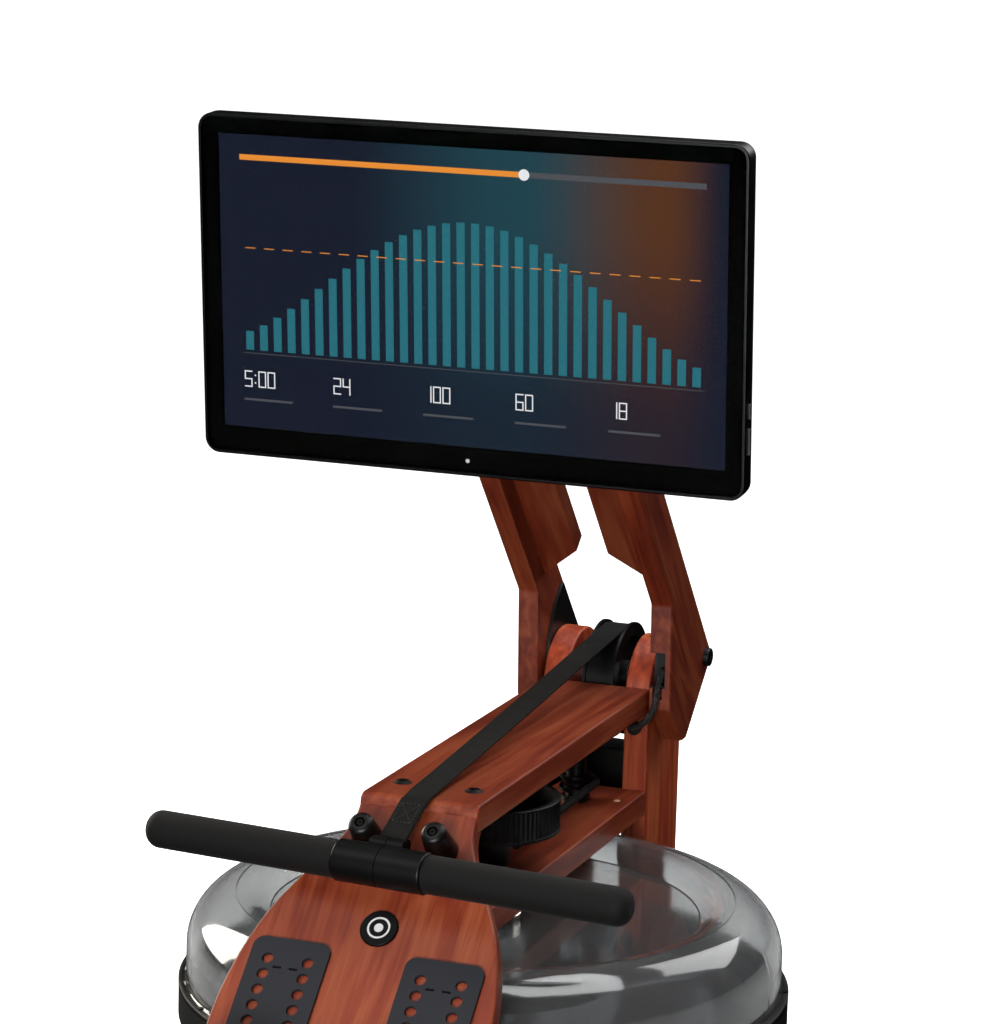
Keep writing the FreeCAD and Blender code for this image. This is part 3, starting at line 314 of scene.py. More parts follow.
MATERIAL = {
    "rail": wood("wood_rail", (0, 1, 0), seed=1.0),
    # painted light: the uprights' wood is made brighter to stand in for the light on their fronts and arcs
    "upright": wood("wood_upright_painted_light", (0, 0, 1), seed=2.0, tone_and_light=1.75),
    "top_deck": wood("wood_top_deck", (0, 1, 0), seed=3.0),
    "lower_deck": wood("wood_lower_deck", (0, 1, 0), seed=4.0, tone_and_light=0.92),
    "footboard": wood("wood_footboard", UP_BOARD, seed=5.0, tone_and_light=1.0, figure=0.8),
    "leg": wood("wood_leg", (0, 0, 1), seed=6.0),
    "bar": wood("wood_bar", (1, 0, 0), seed=7.0),
    # painted shade: the neck arms' and flanges' wood is made darker to stand in for the shade that falls on
    # them below the display
    "arm": wood("wood_arm_painted_shade", ALONG_ARM, seed=8.0, tone_and_light=0.76),
    "flange": wood("wood_flange_painted_shade", ALONG_ARM, seed=9.0, tone_and_light=0.58),
    "seat_base": wood("wood_seat", (0, 1, 0), seed=10.0),
    "black_plastic": moulded("black_plastic", (0.0045, 0.0045, 0.0048), rough=0.5, specular=0.25),
    "black_metal": moulded("black_metal", (0.0040, 0.0040, 0.0044), rough=0.42, grain=900.0,
                           bump=0.12, specular=0.25),
    "peg_rubber": moulded("peg_rubber", (0.0035, 0.0034, 0.0033), rough=0.38, grain=700.0,
                          bump=0.06, specular=0.26),
    "rubber": moulded("rubber", (0.009, 0.009, 0.009), rough=0.72, grain=500.0, bump=0.2, specular=0.25),
    "track": moulded("track", (0.022, 0.022, 0.024), rough=0.5, grain=300.0, bump=0.05),
    "screw": metal("screw", (0.022, 0.020, 0.019), rough=0.50),
    "steel": metal("steel", (0.46, 0.46, 0.47), rough=0.42, grain=(1, 1, 0.1)),
    "bearing": metal("bearing", (0.5, 0.5, 0.5), rough=0.38),
    "tank": clear("tank_clear", (0.54, 0.55, 0.555), rough=0.065, ior=1.5, haze=0.06, specular=0.85),
    "fins": clear("fins_clear", (0.40, 0.42, 0.43), rough=0.25, ior=1.35, haze=0.4),
    "water": clear("water", (0.22, 0.235, 0.25), rough=0.16, ior=1.25, haze=0.14),
    "band": moulded("tank_band", (0.012, 0.0125, 0.0125), rough=0.50, grain=600.0,
                    bump=0.06, specular=0.25),
    "grip": foam("grip_foam", (0.0032, 0.0029, 0.0027)),
    "bracket": moulded("bracket_gloss", (0.0030, 0.0030, 0.0032), rough=0.40, grain=1200.0,
                       bump=0.04, specular=0.22),
    "plate": moulded("plate_plastic", (0.0185, 0.0190, 0.0235), rough=0.55, grain=800.0,
                     bump=0.14, specular=0.25),
    "pulley": moulded("pulley_plastic", (0.0022, 0.0022, 0.0025), rough=0.40, grain=500.0,
                      bump=0.05, specular=0.25),
    "drum": moulded("drum_plastic", (0.0035, 0.0035, 0.0038), rough=0.45, grain=500.0,
                    bump=0.05, specular=0.3),
    "paddle": moulded("paddle_plastic", (0.03, 0.03, 0.032), rough=0.4, grain=500.0, bump=0.05),
    "bezel": metal("bezel_metal", (0.021, 0.0215, 0.0225), rough=0.36, grain=(1, 1, 1), bump=0.03),
    "shell": moulded("shell_plastic", (0.0045, 0.0045, 0.005), rough=0.5, grain=700.0,
                     bump=0.2, specular=0.3),
    "badge": moulded("badge_black", (0.0025, 0.0025, 0.0025), rough=0.42, grain=300.0,
                     bump=0.02, specular=0.12),
    "button": moulded("button_plastic", (0.03, 0.03, 0.032), rough=0.4, grain=700.0, bump=0.06),
    "wheel": moulded("wheel_rubber", (0.035, 0.035, 0.036), rough=0.5, grain=500.0, bump=0.1),
    "webbing": webbing_material("webbing", (0.0045, 0.0043, 0.0040)),
    "pale": moulded("pale_dowel", (0.62, 0.38, 0.22), rough=0.5, grain=600.0, bump=0.1),
    "white_print": moulded("white_print", (0.70, 0.70, 0.69), rough=0.5, grain=900.0, bump=0.05),
}


def paint(node, material):
    mesh = NODES[node].data
    mesh.materials.clear()
    mesh.materials.append(material)


FINISH = {
    "rails": "rail", "uprights": "upright", "top_deck": "top_deck", "lower_deck": "lower_deck",
    "footboard": "footboard", "rear_legs": "leg", "foot_bars": "bar", "neck_arms": "arm",
    "arm_flanges": "flange", "seat_base": "seat_base", "seat_tracks": "track",
    "rubber_feet": "rubber", "castor_brackets": "black_metal", "bolts": "screw",
    "button_screws": "screw", "tank_upper_shell": "tank", "tank_lower_shell": "tank",
    "tank_ring": "band", "tank_baffles": "fins", "tank_water": "water", "tank_pads": "rubber",
    "fill_plug": "black_plastic", "shaft_bearings": "bearing", "pulley_axle": "steel",
    "guide_posts": "pulley", "bungee_cord": "rubber", "sensor_box": "black_plastic",
    "pivot_plates": "black_metal", "pivot_bolts": "black_metal", "handle_pegs": "peg_rubber",
    "badge": "badge", "strap_buckles": "black_plastic", "seat_stops": "rubber",
    "lead_gland": "black_plastic", "cable_port": "black_plastic", "neck_bracket": "black_metal",
    "screen_bezel": "bezel", "screen_rear_shell": "shell", "power_button": "button",
    "volume_rocker": "button", "handle_tube": "steel", "handle_grips": "grip",
    "handle_bracket": "bracket", "top_pulley": "pulley", "bungee_roller": "pulley",
    "paddle": "paddle", "seat_carriage": "black_metal", "seat_wheels_front": "wheel",
    "seat_wheels_rear": "wheel", "footplate_left": "plate", "footplate_right": "plate",
    "castor_wheels": "wheel"}

for node, key in FINISH.items():
    paint(node, MATERIAL[key])


# ---------------------------------------------------------------- piece helpers
def piece(name, mesh, material, body=None, smooth=True):
    """An object in the machine's frame, shaded smooth by default, riding on the body if one is named."""
    obj = bpy.data.objects.new(name, mesh)
    scene.collection.objects.link(obj)
    mesh.materials.append(material)
    if smooth:
        mesh.polygons.foreach_set("use_smooth", [True] * len(mesh.polygons))
    if body:
        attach(obj, body)
    return obj


def mesh_of(name, points, faces):
    mesh = bpy.data.meshes.new(name)
    mesh.from_pydata([tuple(p) for p in points], [], faces)
    mesh.update()
    return mesh


def ribbon(name, centres, widths, thick, half, material, extra=0.0):
    """A flat woven strap swept through centres. widths gives the direction across it at each one, and
    extra the length at which its weave starts."""
    points, faces, along, across = [], [], [], []
    section = [(-1, -0.55), (-0.985, -1), (0.985, -1), (1, -0.55),
               (1, 0.55), (0.985, 1), (-0.985, 1), (-1, 0.55)]
    travelled = extra
    count = len(centres)
    for i in range(count):
        ahead = centres[min(i + 1, count - 1)] - centres[max(i - 1, 0)]
        wide = (widths[i] - ahead.normalized() * widths[i].dot(ahead.normalized())).normalized()
        face = wide.cross(ahead).normalized()
        if i:
            travelled += (centres[i] - centres[i - 1]).length
        for a, b in section:
            points.append(centres[i] + wide * (half * a) + face * (thick / 2 * b))
            along.append(travelled)
            across.append(half * a)
    n = len(section)
    for i in range(count - 1):
        for k in range(n):
            faces.append((i * n + k, i * n + (k + 1) % n, (i + 1) * n + (k + 1) % n, (i + 1) * n + k))
    faces.append(tuple(range(n - 1, -1, -1)))
    faces.append(tuple(range((count - 1) * n, count * n)))
    mesh = mesh_of(name, points, faces)
    for key, values in (("along", along), ("across", across)):
        mesh.attributes.new(key, "FLOAT", "POINT").data.foreach_set("value", values)
    return piece(name, mesh, material, smooth=False)


def tube(name, line, radius, material, sides=16):
    """A round tube along a polyline, with its length and angle stored for its braid."""
    points, faces, along, around = [], [], [], []
    travelled = 0.0
    wide = None
    for i, here in enumerate(line):
        ahead = (line[min(i + 1, len(line) - 1)] - line[max(i - 1, 0)]).normalized()
        if wide is None:
            wide = ahead.orthogonal().normalized()
        wide = (wide - ahead * wide.dot(ahead)).normalized()
        other = ahead.cross(wide)
        if i:
            travelled += (line[i] - line[i - 1]).length
        for k in range(sides):
            angle = 2 * math.pi * k / sides
            points.append(here + (wide * math.cos(angle) + other * math.sin(angle)) * radius)
            along.append(travelled)
            around.append(angle if k <= sides / 2 else 2 * math.pi - angle)
    for i in range(len(line) - 1):
        for k in range(sides):
            faces.append((i * sides + k, i * sides + (k + 1) % sides,
                          (i + 1) * sides + (k + 1) % sides, (i + 1) * sides + k))
    faces.append(tuple(range(sides - 1, -1, -1)))
    faces.append(tuple(range((len(line) - 1) * sides, len(line) * sides)))
    mesh = mesh_of(name, points, faces)
    for key, values in (("along", along), ("around", around)):
        mesh.attributes.new(key, "FLOAT", "POINT").data.foreach_set("value", values)
    return piece(name, mesh, material)


def mm(x, y, z):
    """A point drawn in millimetres about the tank's axis."""
    return Vector((x / 1000, y / 1000 + TANK_Y, z / 1000))


def lathe(name, profile, segments, centre, wobble=None):
    """Turns (radius, height) points about a vertical axis; wobble adds to the radius by point and step."""
    points, faces = [], []
    for k in range(segments):
        angle = 2 * math.pi * k / segments
        for index, (radius, height) in enumerate(profile):
            r = radius + (wobble(index, k) if wobble else 0.0)
            points.append(centre + Vector((r * math.cos(angle), r * math.sin(angle), height)))
    n = len(profile)
    for k in range(segments):
        following = (k + 1) % segments
        for i in range(n):
            faces.append((k * n + i, following * n + i, following * n + (i + 1) % n, k * n + (i + 1) % n))
    return mesh_of(name, points, faces)


# ---------------------------------------------------------------- display lead
def braid_material():
    g = Graph("braid")
    along, around = g.attribute("along"), g.attribute("around")
    pitch, turns = 2 * math.pi / 0.0024, 8.0
    one = g.math("SINE", g.math("MULTIPLY_ADD", along, pitch, g.math("MULTIPLY", around, turns)))
    two = g.math("SINE", g.math("MULTIPLY_ADD", along, pitch, g.math("MULTIPLY", around, -turns)))
    weave = g.math("MAXIMUM", one, two)
    lift = g.math("MULTIPLY_ADD", weave, 0.5, 0.5)
    # painted highlight: light grey dots where the strands cross, standing in for glints on the braid
    painted_glint = g.step(g.math("MULTIPLY", one, two), 0.35, 0.8)
    tint = g.mix(painted_glint, (0.003, 0.003, 0.003), (0.17, 0.165, 0.155))
    g.set(Base_Color=tint, Roughness=0.6, Specular_IOR_Level=0.12)
    return g.bump(lift, 0.8, 0.0008).material


def display_lead():
    route = [(66.5, 307.3, 489.6), (66.5, 293.5, 475), (67.5, 285.5, 465.5), (67, 280, 454),
             (61.5, 278, 443.5), (52, 279.5, 436), (44, 285, 432), (43.2, 291.5, 430.5)]
    data = bpy.data.curves.new("lead_line", "CURVE")
    data.dimensions = "3D"
    data.resolution_u = 10
    spline = data.splines.new("NURBS")
    spline.points.add(len(route) - 1)
    for point, place in zip(spline.points, route):
        point.co = (*mm(*place), 1.0)
    spline.order_u = 3
    spline.use_endpoint_u = True
    holder = bpy.data.objects.new("lead_line", data)
    scene.collection.objects.link(holder)
    bpy.context.view_layer.update()
    flat = bpy.data.meshes.new_from_object(holder.evaluated_get(bpy.context.evaluated_depsgraph_get()))
    line = [v.co.copy() for v in flat.vertices]
    bpy.data.objects.remove(holder)
    lead = tube("lead", line, 0.00325, braid_material(), 20)
    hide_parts("display_lead")
    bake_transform(lead)


display_lead()


# ---------------------------------------------------------------- pull strap
def arc_points(centre, radius, start, end, count):
    """Points in the middle plane round the pulley; angles from +Y towards +Z."""
    found = []
    for k in range(count + 1):
        angle = start + (end - start) * k / count
        found.append(centre + Vector((0, math.cos(angle), math.sin(angle))) * radius)
    return found


def pull_straps():
    pulley_y, pulley_z, wrap_radius = 358, 464, 53.8
    pulley, radius = mm(0, pulley_y, pulley_z), wrap_radius / 1000
    edge = mm(0, -178, 473.2)
    reach = pulley - edge
    span = math.hypot(reach.y, reach.z)
    aim = math.atan2(reach.z, reach.y) + math.asin(radius / span)
    meet = edge + Vector((0, math.cos(aim), math.sin(aim))) * math.sqrt(span ** 2 - radius ** 2)
    end = mm(0, -239, 446)
    across = Vector((1, 0, 0))
    thick, half = 0.0016, 0.0125
    # from the pulley over the deck's near edge to the handle, with a soft bend at the edge
    run, run_steps, deepest = [], 60, 0.0012
    for k in range(run_steps + 1):
        t = k / run_steps
        sag = -deepest * math.sin(math.pi * t)
        run.append(meet.lerp(edge, t) + Vector((0, 0, sag)))
    drop = [edge.lerp(end, t / 16) for t in range(1, 17)]
    line = run + drop
    bend = range(run_steps - 10, run_steps + 10)
    for _ in range(3):
        line[bend.start:bend.stop] = [(line[i - 1] + line[i] * 2 + line[i + 1]) / 4 for i in bend]
    front = ribbon("strap_front", line, [across] * len(line), thick, half, MATERIAL["webbing"])
    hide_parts("pull_strap")
    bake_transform(front)
    # second ply, folded back and sewn
    slope, apart = math.radians(23.9), 0.0017
    lift = Vector((0, -math.sin(slope), math.cos(slope))) * apart
    ply_line = [edge.lerp(end, t / 12) + lift for t in range(1, 12)]
    ply = ribbon("strap_fold", ply_line, [across] * len(ply_line), thick, 0.0123, MATERIAL["webbing"], 0.3)
    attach(ply, "handle")
    stitches(ply_line, lift)
    # round the pulley, then on to the drum with a quarter twist
    wrap = arc_points(pulley, radius, aim + math.pi / 2, -math.pi / 2, 40)
    flat_end, turned_after = 328, 198
    line = wrap + [mm(0, y, pulley_z - wrap_radius) for y in (350, 340, flat_end)]
    wide = [across] * len(line)
    start, finish = mm(0, flat_end, pulley_z - wrap_radius), mm(-69.0, 0, 415.5)
    for k in range(1, 41):
        t = k / 40
        line.append(start.lerp(finish, t))
        angle = min(math.pi / 2, math.pi / 2 * t * flat_end / turned_after)
        wide.append(Vector((math.cos(angle), 0, math.sin(angle))))
    back = ribbon("strap_back", line, wide, thick, half, MATERIAL["webbing"], 1.0)
    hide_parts("drum_strap")
    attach(back, "frame")


def stitches(line, lift):
    """Box and cross of thread on the strap's folded end."""
    start, end = line[1], line[-2]
    forward = end - start
    above, half, pitch = 0.00115, 0.0088, 0.0032
    stitch = (0.00038, 0.00038, 0.00115, 1)
    up = lift.normalized() * above
    corners = {key: start + forward * a + Vector((b * half, 0, 0)) + up
               for key, (a, b) in {"a": (0.05, -1), "b": (0.05, 1), "c": (0.62, 1), "d": (0.62, -1)}.items()}
    runs = [("a", "b"), ("b", "c"), ("c", "d"), ("d", "a"), ("a", "c"), ("b", "d")]
    made = bmesh.new()
    for one, other in runs:
        first, last = corners[one], corners[other]
        count = max(3, int((last - first).length / pitch))
        direction = (last - first).normalized()
        for k in range(count):
            middle = first.lerp(last, (k + 0.5) / count)
            turn = direction.to_track_quat("Z", "X").to_matrix().to_4x4()
            place = Matrix.Translation(middle) @ turn @ Matrix.Diagonal(stitch)
            bmesh.ops.create_icosphere(made, subdivisions=1, radius=1.0, matrix=place)
    mesh = bpy.data.meshes.new("strap_stitches")
    made.to_mesh(mesh)
    made.free()
    thread = moulded("thread", (0.028, 0.027, 0.026), 0.6, 2000.0, 0.2)
    piece("strap_stitches", mesh, thread, "handle")


pull_straps()


# ---------------------------------------------------------------- drum with moulded ribs
def drum():
    profile = [(0.0081, 0.0), (0.0220, 0.0), (0.0220, 0.0330), (0.0675, 0.0330), (0.0675, 0.0354),
               (0.0661, 0.0358), (0.0661, 0.0616), (0.0675, 0.0620), (0.0675, 0.0638), (0.0669, 0.0644),
               (0.0622, 0.0644), (0.0615, 0.0636), (0.0615, 0.0380), (0.0240, 0.0380), (0.0232, 0.0640),
               (0.0081, 0.0640)]
    ribs, rib_height, outer_wall = 84, 0.0009, (5, 6)

    def rib(index, k):
        """Every rib takes four steps round: two low, two raised, and only on the outer wall's points."""
        return (0.0, rib_height, rib_height, 0.0)[k % 4] if index in outer_wall else 0.0
    mesh = lathe("drum_ribbed", profile, ribs * 4, mm(0, 0, 367), rib)
    made = piece("drum_ribbed", mesh, MATERIAL["drum"], "drive_drum", smooth=False)
    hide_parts("drive_drum")


drum()


# ---------------------------------------------------------------- display
LIT_W, LIT_H = 476.0, 268.0
MARGIN = 20.0
NAVY = (0.0085, 0.0115, 0.024)
TEAL = (0.014, 0.062, 0.082)
AMBER = (0.105, 0.036, 0.012)


def display_face():
    """Middle of the panel's lit face, its upward direction and the way it faces, from the panel itself."""
    panel = NODES["screen_panel"]
    turn = panel.matrix_world.to_quaternion()
    front = max(panel.data.polygons, key=lambda f: (round((turn @ f.normal).dot(Vector((0, -1, 0))), 3),
                                                    f.area))
    outward = (turn @ front.normal).normalized()
    spots = [panel.matrix_world @ v.co for v in panel.data.vertices]
    nearest = max(p.dot(outward) for p in spots)
    face = [p for p in spots if p.dot(outward) > nearest - 0.0003]
    low = min(face, key=lambda p: p.z)
    high = max(face, key=lambda p: p.z)
    up = Vector((1, 0, 0)).cross(outward)
    up = up if up.z > 0 else -up
    middle_x = (min(p.x for p in face) + max(p.x for p in face)) / 2
    centre = (low + high) / 2
    centre.x = middle_x
    return centre, up.normalized(), outward


SCREEN_CENTRE, SCREEN_UP, SCREEN_OUT = display_face()


def on_display(u, v, lift=0.0):
    """A point u right and v down from the lit area's top left corner, in mm, lifted off the panel."""
    return (SCREEN_CENTRE + Vector((1, 0, 0)) * ((u - LIT_W / 2) / 1000)
            + SCREEN_UP * ((LIT_H / 2 - v) / 1000) + SCREEN_OUT * (lift / 1000))


def display_material():
    """The panel's picture: a plain wash of navy, teal and amber light."""
    g = Graph("screen_picture")
    point = g.place()
    across = g.math("MULTIPLY_ADD", g.dot(point, (1, 0, 0)), 1000 / LIT_W, 0.5)
    middle = SCREEN_CENTRE.dot(SCREEN_UP)
    down = g.math("MULTIPLY_ADD", g.dot(point, tuple(SCREEN_UP)), -1000 / LIT_H, 0.5 + middle * 1000 / LIT_H)
    wash = g.ramp(across, [(0.0, NAVY), (0.25, NAVY), (0.60, TEAL), (0.88, AMBER), (1.0, NAVY)], "EASE")
    cloud = g.noise(point, 5.0, 2.0, 0.5)
    lower = g.math("MULTIPLY", g.step(down, 0.15, 0.95), 0.85)
    picture = g.mix(lower, wash, NAVY)
    picture = g.mix(g.math("MULTIPLY", cloud, 0.35), picture, NAVY)
    g.set(Base_Color=(0.001, 0.001, 0.001), Roughness=0.5, Specular_IOR_Level=0.0, Emission_Color=picture,
          Emission_Strength=1.0)
    return g.material


class Marks:
    """Flat lit shapes on the display, gathered into one mesh per colour."""

    def __init__(self):
        self.points, self.faces = [], []

    def quad(self, u0, v0, u1, v1, lift=0.25):
        start = len(self.points)
        self.points += [on_display(u0, v1, lift), on_display(u1, v1, lift),
                        on_display(u1, v0, lift), on_display(u0, v0, lift)]
        self.faces.append((start, start + 1, start + 2, start + 3))

    def disc(self, u, v, radius, lift=0.3, sides=40):
        start = len(self.points)
        for k in range(sides):
            turn = -2 * math.pi * k / sides
            self.points.append(on_display(u + radius * math.cos(turn), v + radius * math.sin(turn), lift))
        self.faces.append(tuple(range(start, start + sides)))

    def line(self, route, width, lift=0.25):
        for (a, b), (c, d) in zip(route, route[1:]):
            run = math.hypot(c - a, d - b)
            du, dv = -(d - b) / run * width / 2, (c - a) / run * width / 2
            eu, ev = (c - a) / run * width / 2, (d - b) / run * width / 2
            start = len(self.points)
            self.points += [on_display(a + du - eu, b + dv - ev, lift),
                            on_display(c + du + eu, d + dv + ev, lift),
                            on_display(c - du + eu, d - dv + ev, lift),
                            on_display(a - du - eu, b - dv - ev, lift)]
            self.faces.append((start, start + 1, start + 2, start + 3))

    def digits(self, text, u0, v0, width, height, weight):
        """Plain seven-segment figures, read from the left; a colon takes half a figure's width."""
        lit = {"0": "abcdef", "1": "bc", "2": "abged", "3": "abgcd", "4": "fgbc", "5": "afgcd",
               "6": "afgedc", "7": "abc", "8": "abcdefg", "9": "abcfgd"}
        v1, m = v0 + height, v0 + height / 2
        for c in text:
            span = width * (0.5 if c == ":" else 1.0)
            a, b = u0 + width * 0.14, u0 + span - width * 0.14
            strokes = {"a": [(a, v0), (b, v0)], "b": [(b, v0), (b, m)], "c": [(b, m), (b, v1)],
                       "d": [(a, v1), (b, v1)], "e": [(a, m), (a, v1)], "f": [(a, v0), (a, m)],
                       "g": [(a, m), (b, m)]}
            for key in lit.get(c, ""):
                self.line(strokes[key], weight)
            if c == ":":
                for dot in (m - height / 4, m + height / 4):
                    self.disc(u0 + span / 2, dot, weight * 0.7, 0.25, 12)
            u0 += span

    def build(self, name, colour):
        mesh = mesh_of(name, self.points, self.faces)
        return piece(name, mesh, glow(name, colour), "screen", smooth=False)


def rounded_rim(u0, u1, v0, v1, radius, steps):
    """Outline of a box with rounded corners, from its bottom left corner along the bottom."""
    found = []
    for cu, cv, turn in ((u0 + radius, v1 - radius, 2), (u1 - radius, v1 - radius, 3),
                         (u1 - radius, v0 + radius, 0), (u0 + radius, v0 + radius, 1)):
        for k in range(steps + 1):
            angle = math.pi / 2 * (turn + k / steps)
            found.append((cu + radius * math.cos(angle), cv - radius * math.sin(angle)))
    return found


def smooth_route(points, count):
    """Catmull-Rom through the points."""
    found = []
    padded = [points[0]] + points + [points[-1]]
    for i in range(1, len(padded) - 2):
        for k in range(count):
            t = k / count
            p = [np.array(q, float) for q in padded[i - 1:i + 3]]
            square = 2 * p[0] - 5 * p[1] + 4 * p[2] - p[3]
            cube = 3 * p[1] - p[0] - 3 * p[2] + p[3]
            found.append(tuple(0.5 * (2 * p[1] + (p[2] - p[0]) * t + square * t * t + cube * t ** 3)))
    found.append(tuple(points[-1]))
    return found


def display():
    """A plain exercise readout: progress bar, effort chart and a row of figures."""
    paint("screen_panel", display_material())
    white, dim, orange, teal = Marks(), Marks(), Marks(), Marks()
    inner = LIT_W - 2 * MARGIN
    bar_top, bar_height, done = 18.0, 5.0, 0.62
    dim.quad(MARGIN, bar_top, LIT_W - MARGIN, bar_top + bar_height, 0.15)
    orange.quad(MARGIN, bar_top, MARGIN + inner * done, bar_top + bar_height)
    white.disc(MARGIN + inner * done, bar_top + bar_height / 2, 5.0, 0.35)
    # effort over one stroke, as columns
    columns, chart_base, chart_height = 32, 196.0, 130.0
    pitch = inner / columns
    for k in range(columns):
        share = 0.12 + 0.88 * math.sin(math.pi * (k + 0.5) / columns) ** 1.4
        left = MARGIN + pitch * (k + 0.22)
        teal.quad(left, chart_base - chart_height * share, left + pitch * 0.56, chart_base)
    dim.line([(MARGIN, chart_base + 3), (LIT_W - MARGIN, chart_base + 3)], 0.6)
    dashes, target_height = 24, 0.72
    for k in range(dashes):
        left = MARGIN + inner * (k + 0.25) / dashes
        height = chart_base - chart_height * target_height
        orange.line([(left, height), (left + inner * 0.5 / dashes, height)], 0.8, 0.35)
    # figures, each over a plain rule
    figures = ("5:00", "24", "100", "60", "18")
    cell = inner / len(figures)
    for k, text in enumerate(figures):
        left = MARGIN + cell * k
        white.digits(text, left, 216.0, 9.0, 14.0, 1.1)
        dim.quad(left, 241.0, left + cell * 0.55, 243.0)
    white.build("display_white", (0.80, 0.82, 0.84))
    dim.build("display_dim", (0.075, 0.080, 0.090))
    orange.build("display_orange", (0.80, 0.27, 0.035))
    teal.build("display_teal", (0.020, 0.150, 0.190))


def glass_and_border():
    g = Graph("screen_glass")
    film = g.noise(g.place(), 40.0, 3.0, 0.5)
    g.set(Base_Color=g.mix(film, (0.98, 0.985, 0.99), (1.0, 1.0, 1.0)), Transmission_Weight=1.0, IOR=1.05,
          Roughness=0.0, Specular_IOR_Level=0.1)
    paint("screen_glass", g.material)
    # black print behind the glass, round the lit area
    side, above, below, corner = 15.6, 14.6, 22.6, 10.5
    corners = rounded_rim(-side, LIT_W + side, -above, LIT_H + below, corner, 8)
    lit = [(min(max(u, 0.0), LIT_W), min(max(v, 0.0), LIT_H)) for u, v in corners]
    points = [on_display(u, v, lift) for lift in (0.62, 0.30) for u, v in corners + lit]
    n = len(corners)
    faces = []
    for k in range(n):
        j = (k + 1) % n
        faces += [(k, j, n + j, n + k), (2 * n + j, 2 * n + k, 3 * n + k, 3 * n + j),
                  (k, 2 * n + k, 2 * n + j, j), (n + k, n + j, 3 * n + j, 3 * n + k)]
    border = moulded("border_black", (0.0004, 0.0004, 0.0004), 0.6, 900.0, 0.02, 0.0)
    piece("screen_border", mesh_of("screen_border", points, faces), border, "screen",
          smooth=False)
    # plain indicator light below the lit area
    light_down, light_radius, light_lift = 280.0, 1.9, 3.46
    light = Marks()
    light.disc(LIT_W / 2, light_down, light_radius, light_lift, 24)
    shape = mesh_of("indicator_light", light.points, light.faces)
    piece("indicator_light", shape, MATERIAL["white_print"], "screen", smooth=False)


display()
glass_and_border()


# ---------------------------------------------------------------- footboard fittings
def on_board(x, s, z):
    """A point x across, s down the footboard from its top edge and z off its face, in mm."""
    c = math.sqrt(0.5)
    return mm(x, -175 - s * c - z * c, 460 - s * c + z * c)


def emblem():
    """A plain ring round a plain dot on the round badge."""
    points, faces = [], []
    sides, centre, height = 48, 119.0, 2.68
    for inner, outer in ((0.0, 4.2), (8.6, 10.4)):
        start = len(points)
        for k in range(sides):
            turn = 2 * math.pi * k / sides
            for radius in (inner, outer):
                points.append(on_board(radius * math.cos(turn), centre + radius * math.sin(turn), height))
        for k in range(sides):
            j = (k + 1) % sides
            loop = (start + 2 * k, start + 2 * k + 1, start + 2 * j + 1, start + 2 * j)
            faces.append(loop if inner > 0 else loop[:3])
    piece("badge_emblem", mesh_of("badge_emblem", points, faces), MATERIAL["white_print"], "frame",
          smooth=False)


def foot_straps():
    foot_x, down_board = 71, 285
    thick, half = 0.0022, 0.019
    rise = [(40, -16), (40, 0), (40, 14), (40, 28), (37, 40), (30, 52), (21, 60.5), (8, 62)]
    path = smooth_route([(foot_x - x, z) for x, z in rise] + [(foot_x + x, z) for x, z in rise[::-1]], 4)
    for side, name in ((1, "right"), (-1, "left")):
        line = [on_board(side * x, down_board, z) for x, z in path]
        wide = [Vector(UP_BOARD)] * len(line)
        made = ribbon("foot_strap_" + name, line, wide, thick, half, MATERIAL["webbing"], 2.0)
        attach(made, "frame")
        if side == 1:
            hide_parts("foot_straps")


def tank_gasket():
    """Black trim over the clear flange, between the band and the dome."""
    profile = [(0.2771, 0.2511), (0.2842, 0.2511), (0.2842, 0.2549), (0.2836, 0.2556), (0.2771, 0.2556)]
    mesh = lathe("tank_gasket", profile, 180, Vector((0, TANK_Y, 0)))
    piece("tank_gasket", mesh, MATERIAL["band"], "frame")


def dowels():
    """Pale ends of two dowels, standing just proud of the lower deck."""
    deck_face, proud = 365.5, 0.5
    made = bmesh.new()
    for x in (-42, 42):
        place = Matrix.Translation(mm(x, 251, deck_face + proud / 2))
        bmesh.ops.create_cone(made, cap_ends=True, segments=32, radius1=0.0032, radius2=0.0030,
                              depth=proud / 1000, matrix=place)
    mesh = bpy.data.meshes.new("dowel_plugs")
    made.to_mesh(mesh)
    made.free()
    piece("dowel_plugs", mesh, MATERIAL["pale"], "frame", smooth=False)


emblem()
foot_straps()
tank_gasket()
dowels()


# ---------------------------------------------------------------- seat cushion
def seat_cover_material():
    g = Graph("seat_cover")
    point = g.place()
    knit = g.node("ShaderNodeTexVoronoi", feature="SMOOTH_F1")
    g.feed(knit.inputs["Vector"], g.scaled(point, (1, 1.5, 1)))
    knit.inputs["Scale"].default_value = 620.0
    cloud = g.noise(point, 16.0, 3.0, 0.5)
    tint = g.mix(cloud, (0.016, 0.016, 0.018), (0.030, 0.030, 0.033))
    g.set(Base_Color=tint, Roughness=0.82, Sheen_Weight=0.35, Sheen_Roughness=0.5, Specular_IOR_Level=0.25)
    return g.bump(knit.outputs["Distance"], 0.35, 0.0006).material


